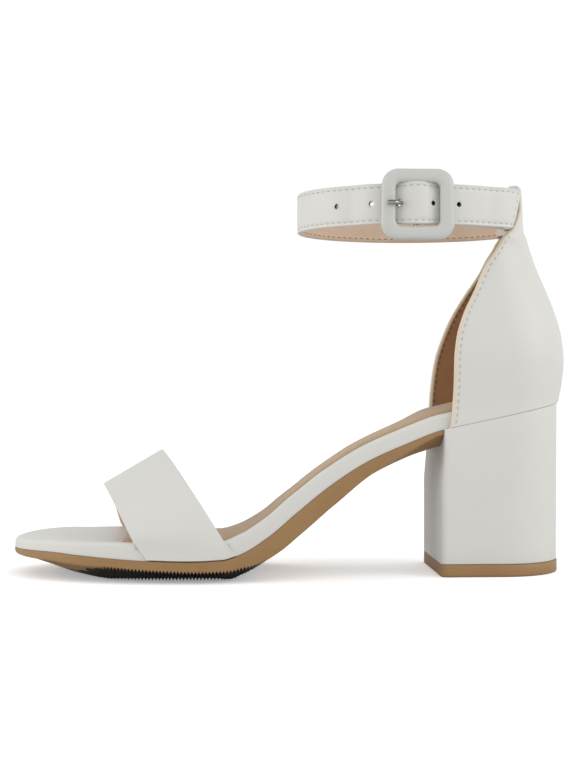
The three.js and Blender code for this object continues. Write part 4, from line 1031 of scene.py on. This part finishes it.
frame_outer = rounded_contour(BUCKLE_LENGTH - 0.3, BUCKLE_HEIGHT, 6.6)
frame_outer *= np.stack([1 - 0.0012 * frame_outer[:, 1], np.where(frame_outer[:, 1] < 0, 1.05, 0.978)], 1)
frame_inner = rounded_contour(WINDOW_LENGTH + 0.1, WINDOW_HEIGHT + 0.5, 2.3) - (0, 0.45)
section = np.linspace(0, 2 * math.pi, 28, endpoint=False)
across = 0.5 + 0.5 * power(np.cos(section), 0.8)
depth = power(np.sin(section), 0.72) * BUCKLE_DEPTH / 2
middle_x = BUCKLE_X + 0.35
frame_loops = []
for outer, inner in zip(frame_outer, frame_inner):
    flat = mix(inner, outer, across[:, None])
    frame_loops.append(np.stack([middle_x + flat[:, 0], FRAME_Y + depth, STRAP_Z + flat[:, 1]], 1))
buckle = make_piece("buckle_frame_covered", np.vstack(frame_loops),
                    sweep_faces(len(frame_loops), len(section)), [frame_leather], None, 60)
finish_piece(buckle, "white_leather", "buckle_frame")

# %% [markdown]
# ## Bar and prong
# The prong is bent from wire: hooked round the back of the bar, up through the hole and flat over the
# frame. A smooth curve through a few bends gives its path, and its end is rounded like a matchstick. The
# bar is a plain cylinder behind the strap.

# %% Bar and prong
bar = cylinder("buckle_bar_nickel", BAR / 2, WINDOW_HEIGHT + 2.4, 32, [(1, 0, 0), (0, 1, 0), (0, 0, 1)],
               (BUCKLE_X, BAR_Y, STRAP_Z), nickel)
finish_piece(bar, "nickel", "buckle_bar")
radius, reach, deep = PRONG / 2, PRONG_REACH, BUCKLE_DEPTH
hook = BAR / 2 + CLEARANCE + radius
prong_bends = np.array([  # towards the toe from the bar, outwards from the bar
    (-hook, 0), (-hook * 0.7, -hook * 0.7), (0, -hook), (hook * 0.7, -hook * 0.7), (hook * 1.15, -hook * 0.1),
    (reach * 0.43, deep * 0.02), (reach * 0.53, deep * 0.36), (reach * 0.62, deep * 0.72),
    (reach * 0.73, deep * 0.8 + radius * 0.8), (reach * 0.86, deep * 0.82 + radius),
    (reach, deep * 0.74 + radius),
])


def smooth_path(points, steps):
    """Catmull-Rom curve through the points."""
    padded = np.vstack([2 * points[0] - points[1], points, 2 * points[-1] - points[-2]])
    result = []
    for i in range(len(points) - 1):
        a, b, c, d = padded[i:i + 4]
        for t in np.linspace(0, 1, steps, endpoint=False):
            result.append(0.5 * (2 * b + (c - a) * t + (2 * a - 5 * b + 4 * c - d) * t * t
                                 + (3 * b - a - 3 * c + d) * t ** 3))
    return np.array(result + [points[-1]])


wire = smooth_path(prong_bends, 8)
direction = np.gradient(wire, axis=0)
direction /= np.linalg.norm(direction, axis=1, keepdims=True)
pieces = np.linalg.norm(np.diff(wire, axis=0), axis=1)
to_end = np.concatenate([np.cumsum(pieces[::-1])[::-1], [0]])
around = np.linspace(0, 2 * math.pi, 16, endpoint=False)
prong_loops = []
for (fore, away), (df, da), left in zip(wire, direction, to_end):
    rounded = radius * math.sqrt(max(0.02, 1 - max(0, 1 - left / radius) ** 2))
    x = BUCKLE_X - fore - da * rounded * np.cos(around)
    y = BAR_Y - away + df * rounded * np.cos(around)
    prong_loops.append(np.stack([x, y, STRAP_Z + rounded * np.sin(around)], 1))
faces = capped_faces(len(prong_loops), len(around))
prong = make_piece("buckle_prong_nickel", np.vstack(prong_loops), faces, [nickel], None, 60)
finish_piece(prong, "nickel", "buckle_prong")

# %% [markdown]
# ## Stitches
# Each stitch is a short piece of twisted thread that comes up out of one hole and goes down the next.
# It is a small tube along an arc, with both ends under the surface. The pitch is 2.7 mm, read off the
# strap in proportion to its width. A bump could hint at stitches, but real ones cast small shadows. One
# mesh holds a whole seam.

# %% Stitches
def stitch_row(name, path, normals, material, slot, pitch=2.7, length=1.55, thread=0.2, lift=0.1):
    path, normals = np.asarray(path, float), np.asarray(normals, float)
    travel = np.concatenate([[0], np.cumsum(np.linalg.norm(np.diff(path, axis=0), axis=1))])
    count = max(1, int((travel[-1] - length) // pitch))
    gap = (travel[-1] - length) / count
    sides, steps = 6, 6
    ring_turn = np.linspace(0, 2 * math.pi, sides, endpoint=False)
    points, faces = [], []
    shares = np.linspace(0, 1, steps)
    for k in range(count + 1):
        at = k * gap + shares * length
        centre = np.stack([np.interp(at, travel, path[:, i]) for i in range(3)], 1)
        up = np.stack([np.interp(at, travel, normals[:, i]) for i in range(3)], 1)
        up /= np.linalg.norm(up, axis=1, keepdims=True)
        along = np.gradient(centre, axis=0)
        along /= np.linalg.norm(along, axis=1, keepdims=True)
        across = np.cross(along, up)
        arc = lift - 0.32 * (2 * shares - 1) ** 4
        base = len(points)
        for c, u, a, h in zip(centre, up, across, arc):
            for t in ring_turn:
                points.append(c + u * (h + thread * math.sin(t)) + a * thread * math.cos(t))
        faces += [[base + i for i in face] for face in capped_faces(steps, sides)]
    return finish_piece(make_piece(name, points, faces, [material], None, 70), slot)


def strap_line(start, end, from_edge, is_high, side):
    """A line on the strap's face, side 1 outside and -1 inside, at a distance from one edge."""
    t = np.linspace(start, end, max(8, int((end - start) * 2)))
    middle, out = strap_middle(t), strap_out(t)
    low = middle[:, 2] - STRAP_WIDTH / 2 * strap["low"](t)
    high = middle[:, 2] + STRAP_WIDTH / 2 * strap["high"](t)
    surface = STRAP_WALL / 2 - (0.2 if side > 0 else 0)
    points = middle + out * surface * side
    points[:, 2] = high - from_edge if is_high else low + from_edge
    return points, out * side


seam_start, slant_start = first_turn + 4, TIP - 7.5
for is_high, label, seam_end in ((True, "upper", TIP - 2.4), (False, "lower", slant_start)):
    stitch_row(f"strap_seam_{label}_outside", *strap_line(seam_start, seam_end, SEAM_INSET, is_high, 1),
               thread_painted_grey, "white_leather")
    stitch_row(f"strap_seam_{label}_inside", *strap_line(seam_start, 318, SEAM_INSET, is_high, -1),
               brown_thread, "beige_lining")
t = np.linspace(slant_start, TIP - 2.0, 24)
middle, out = strap_middle(t), strap_out(t)
surface = middle + out * (STRAP_WALL / 2 - 0.05)
surface[:, 2] = middle[:, 2] - STRAP_WIDTH / 2 * strap["low"](t + 1.9) + SEAM_INSET * 0.9
stitch_row("strap_seam_tip", surface, out, thread_painted_grey, "white_leather")


def counter_line(side, face):
    """The seam along one front edge of the counter, from the seat to the tunnel."""
    z_values = np.linspace(SEAT_HEIGHT + 0.5, SEAT_HEIGHT + 0.775 * COUNTER_HEIGHT, 90)
    start = counter_face(side, COUNTER_SEAM, 0, z_values, 0)[0][:, 0]
    z = z_values + (seat_line(start[0]) + 1.2 - z_values[0]) * np.linspace(1, 0, 90)
    wall = counter["wall"]((z - SEAT_HEIGHT) / COUNTER_HEIGHT) * COUNTER_WALL
    inset = 0.22 if face > 0 else wall
    points, normal = counter_face(side, COUNTER_SEAM, 0, z, inset)
    return points, normal * face


for side, label in ((-1, "outer"), (1, "inner")):
    stitch_row(f"counter_seam_{label}_outside", *counter_line(side, 1), thread_painted_grey, "white_leather")
    stitch_row(f"counter_seam_{label}_inside", *counter_line(side, -1), brown_thread, "beige_lining")

# %% [markdown]
# ## Camera
# The photograph looks at the outer side from just above the heel seat's height, with a long lens and a
# turn of three degrees. These numbers come from matching edges of known size. A long lens keeps the
# perspective weak, so that the far side of the sole hides behind the near side.

# %% Camera
camera_data = bpy.data.cameras.new("camera")
camera_data.lens, camera_data.sensor_width = 68, 36
camera = bpy.data.objects.new("camera", camera_data)
camera.location = (-0.11719, -0.59869, 0.077)
camera.rotation_euler = (math.radians(90), 0, math.radians(-3))
bpy.context.scene.collection.objects.link(camera)
bpy.context.scene.camera = camera

# %% [markdown]
# ## Floor and light
# A white floor and a white surround, as in a studio tent that glows most near the floor. A soft light
# behind the heel and one before the toe brighten the faces that the tent leaves grey. The camera sees
# the floor overexposed, as the photographer's did, while the shoe gets the light of a plainer one. The
# tent's roof is darker in reflections, which gives the buckle's wire a dark upper side. The Standard
# view transform keeps white as white as in the photograph, where the default one would grey it.

# %% Floor, world and lights
floor_mesh = bpy.data.meshes.new("floor")
floor_mesh.from_pydata([(-6, -6, 0), (6, -6, 0), (6, 6, 0), (-6, 6, 0)], [], [(0, 1, 2, 3)])
floor = bpy.data.objects.new("floor", floor_mesh)
bpy.context.scene.collection.objects.link(floor)
floor_material, tree, place = new_material("white_floor_paper")
paper = add_node(tree, "ShaderNodeTexNoise", Vector=place, Scale=3.0, Detail=2.0)
seen = add_node(tree, "ShaderNodeBsdfPrincipled", Roughness=0.9, Specular_IOR_Level=0.0,
                Base_Color=colour_between(tree, paper.outputs["Fac"], "f4f4f4", "f8f8f8"),
                Emission_Color=(1, 1, 1, 1), Emission_Strength=0.3)
lighting = add_node(tree, "ShaderNodeBsdfDiffuse", Color=srgb("dadada"))
ray = add_node(tree, "ShaderNodeLightPath")
close_material(tree, add_node(tree, "ShaderNodeMixShader", _0=ray.outputs["Is Camera Ray"],
                              _1=lighting.outputs[0], _2=seen.outputs[0]))
floor_mesh.materials.append(floor_material)

world = bpy.data.worlds.new("studio")
bpy.context.scene.world = world
world.use_nodes = True
tree = world.node_tree
tree.nodes.clear()
place = add_node(tree, "ShaderNodeTexCoord").outputs["Generated"]
height = add_node(tree, "ShaderNodeSeparateXYZ", Vector=place).outputs["Z"]
glow = add_node(tree, "ShaderNodeMapRange", Value=height,
                From_Min=0.3, From_Max=1.0, To_Min=1.02, To_Max=0.8)
roof = add_node(tree, "ShaderNodeMapRange", Value=height,
                From_Min=0.25, From_Max=0.6, To_Min=1.0, To_Max=0.35)
tent = add_node(tree, "ShaderNodeBackground", Color=(1, 1, 1, 1), Strength=glow.outputs[0])
mirrored = add_node(tree, "ShaderNodeBackground", Color=(1, 1, 1, 1), Strength=roof.outputs[0])
ray = add_node(tree, "ShaderNodeLightPath")
both = add_node(tree, "ShaderNodeMixShader", _0=ray.outputs["Is Glossy Ray"],
                _1=tent.outputs[0], _2=mirrored.outputs[0])
tree.links.new(both.outputs[0], tree.nodes.new("ShaderNodeOutputWorld").inputs["Surface"])


def soft_light(name, place, target, size, watts):
    data = bpy.data.lights.new(name, "AREA")
    data.shape, data.size, data.energy = "SQUARE", size, watts
    light = bpy.data.objects.new(name, data)
    light.location = place
    aim = np.array(target) - np.array(place)
    light.rotation_euler = Vector(aim).to_track_quat("-Z", "Y").to_euler()
    bpy.context.scene.collection.objects.link(light)


soft_light("right", (1.3, -0.7, 0.7), (-0.05, 0, 0.06), 1.0, 8)
soft_light("front_left", (-1.5, -0.35, 0.22), (-0.05, 0, 0.04), 1.0, 9)
bpy.context.scene.view_settings.view_transform = "Standard"
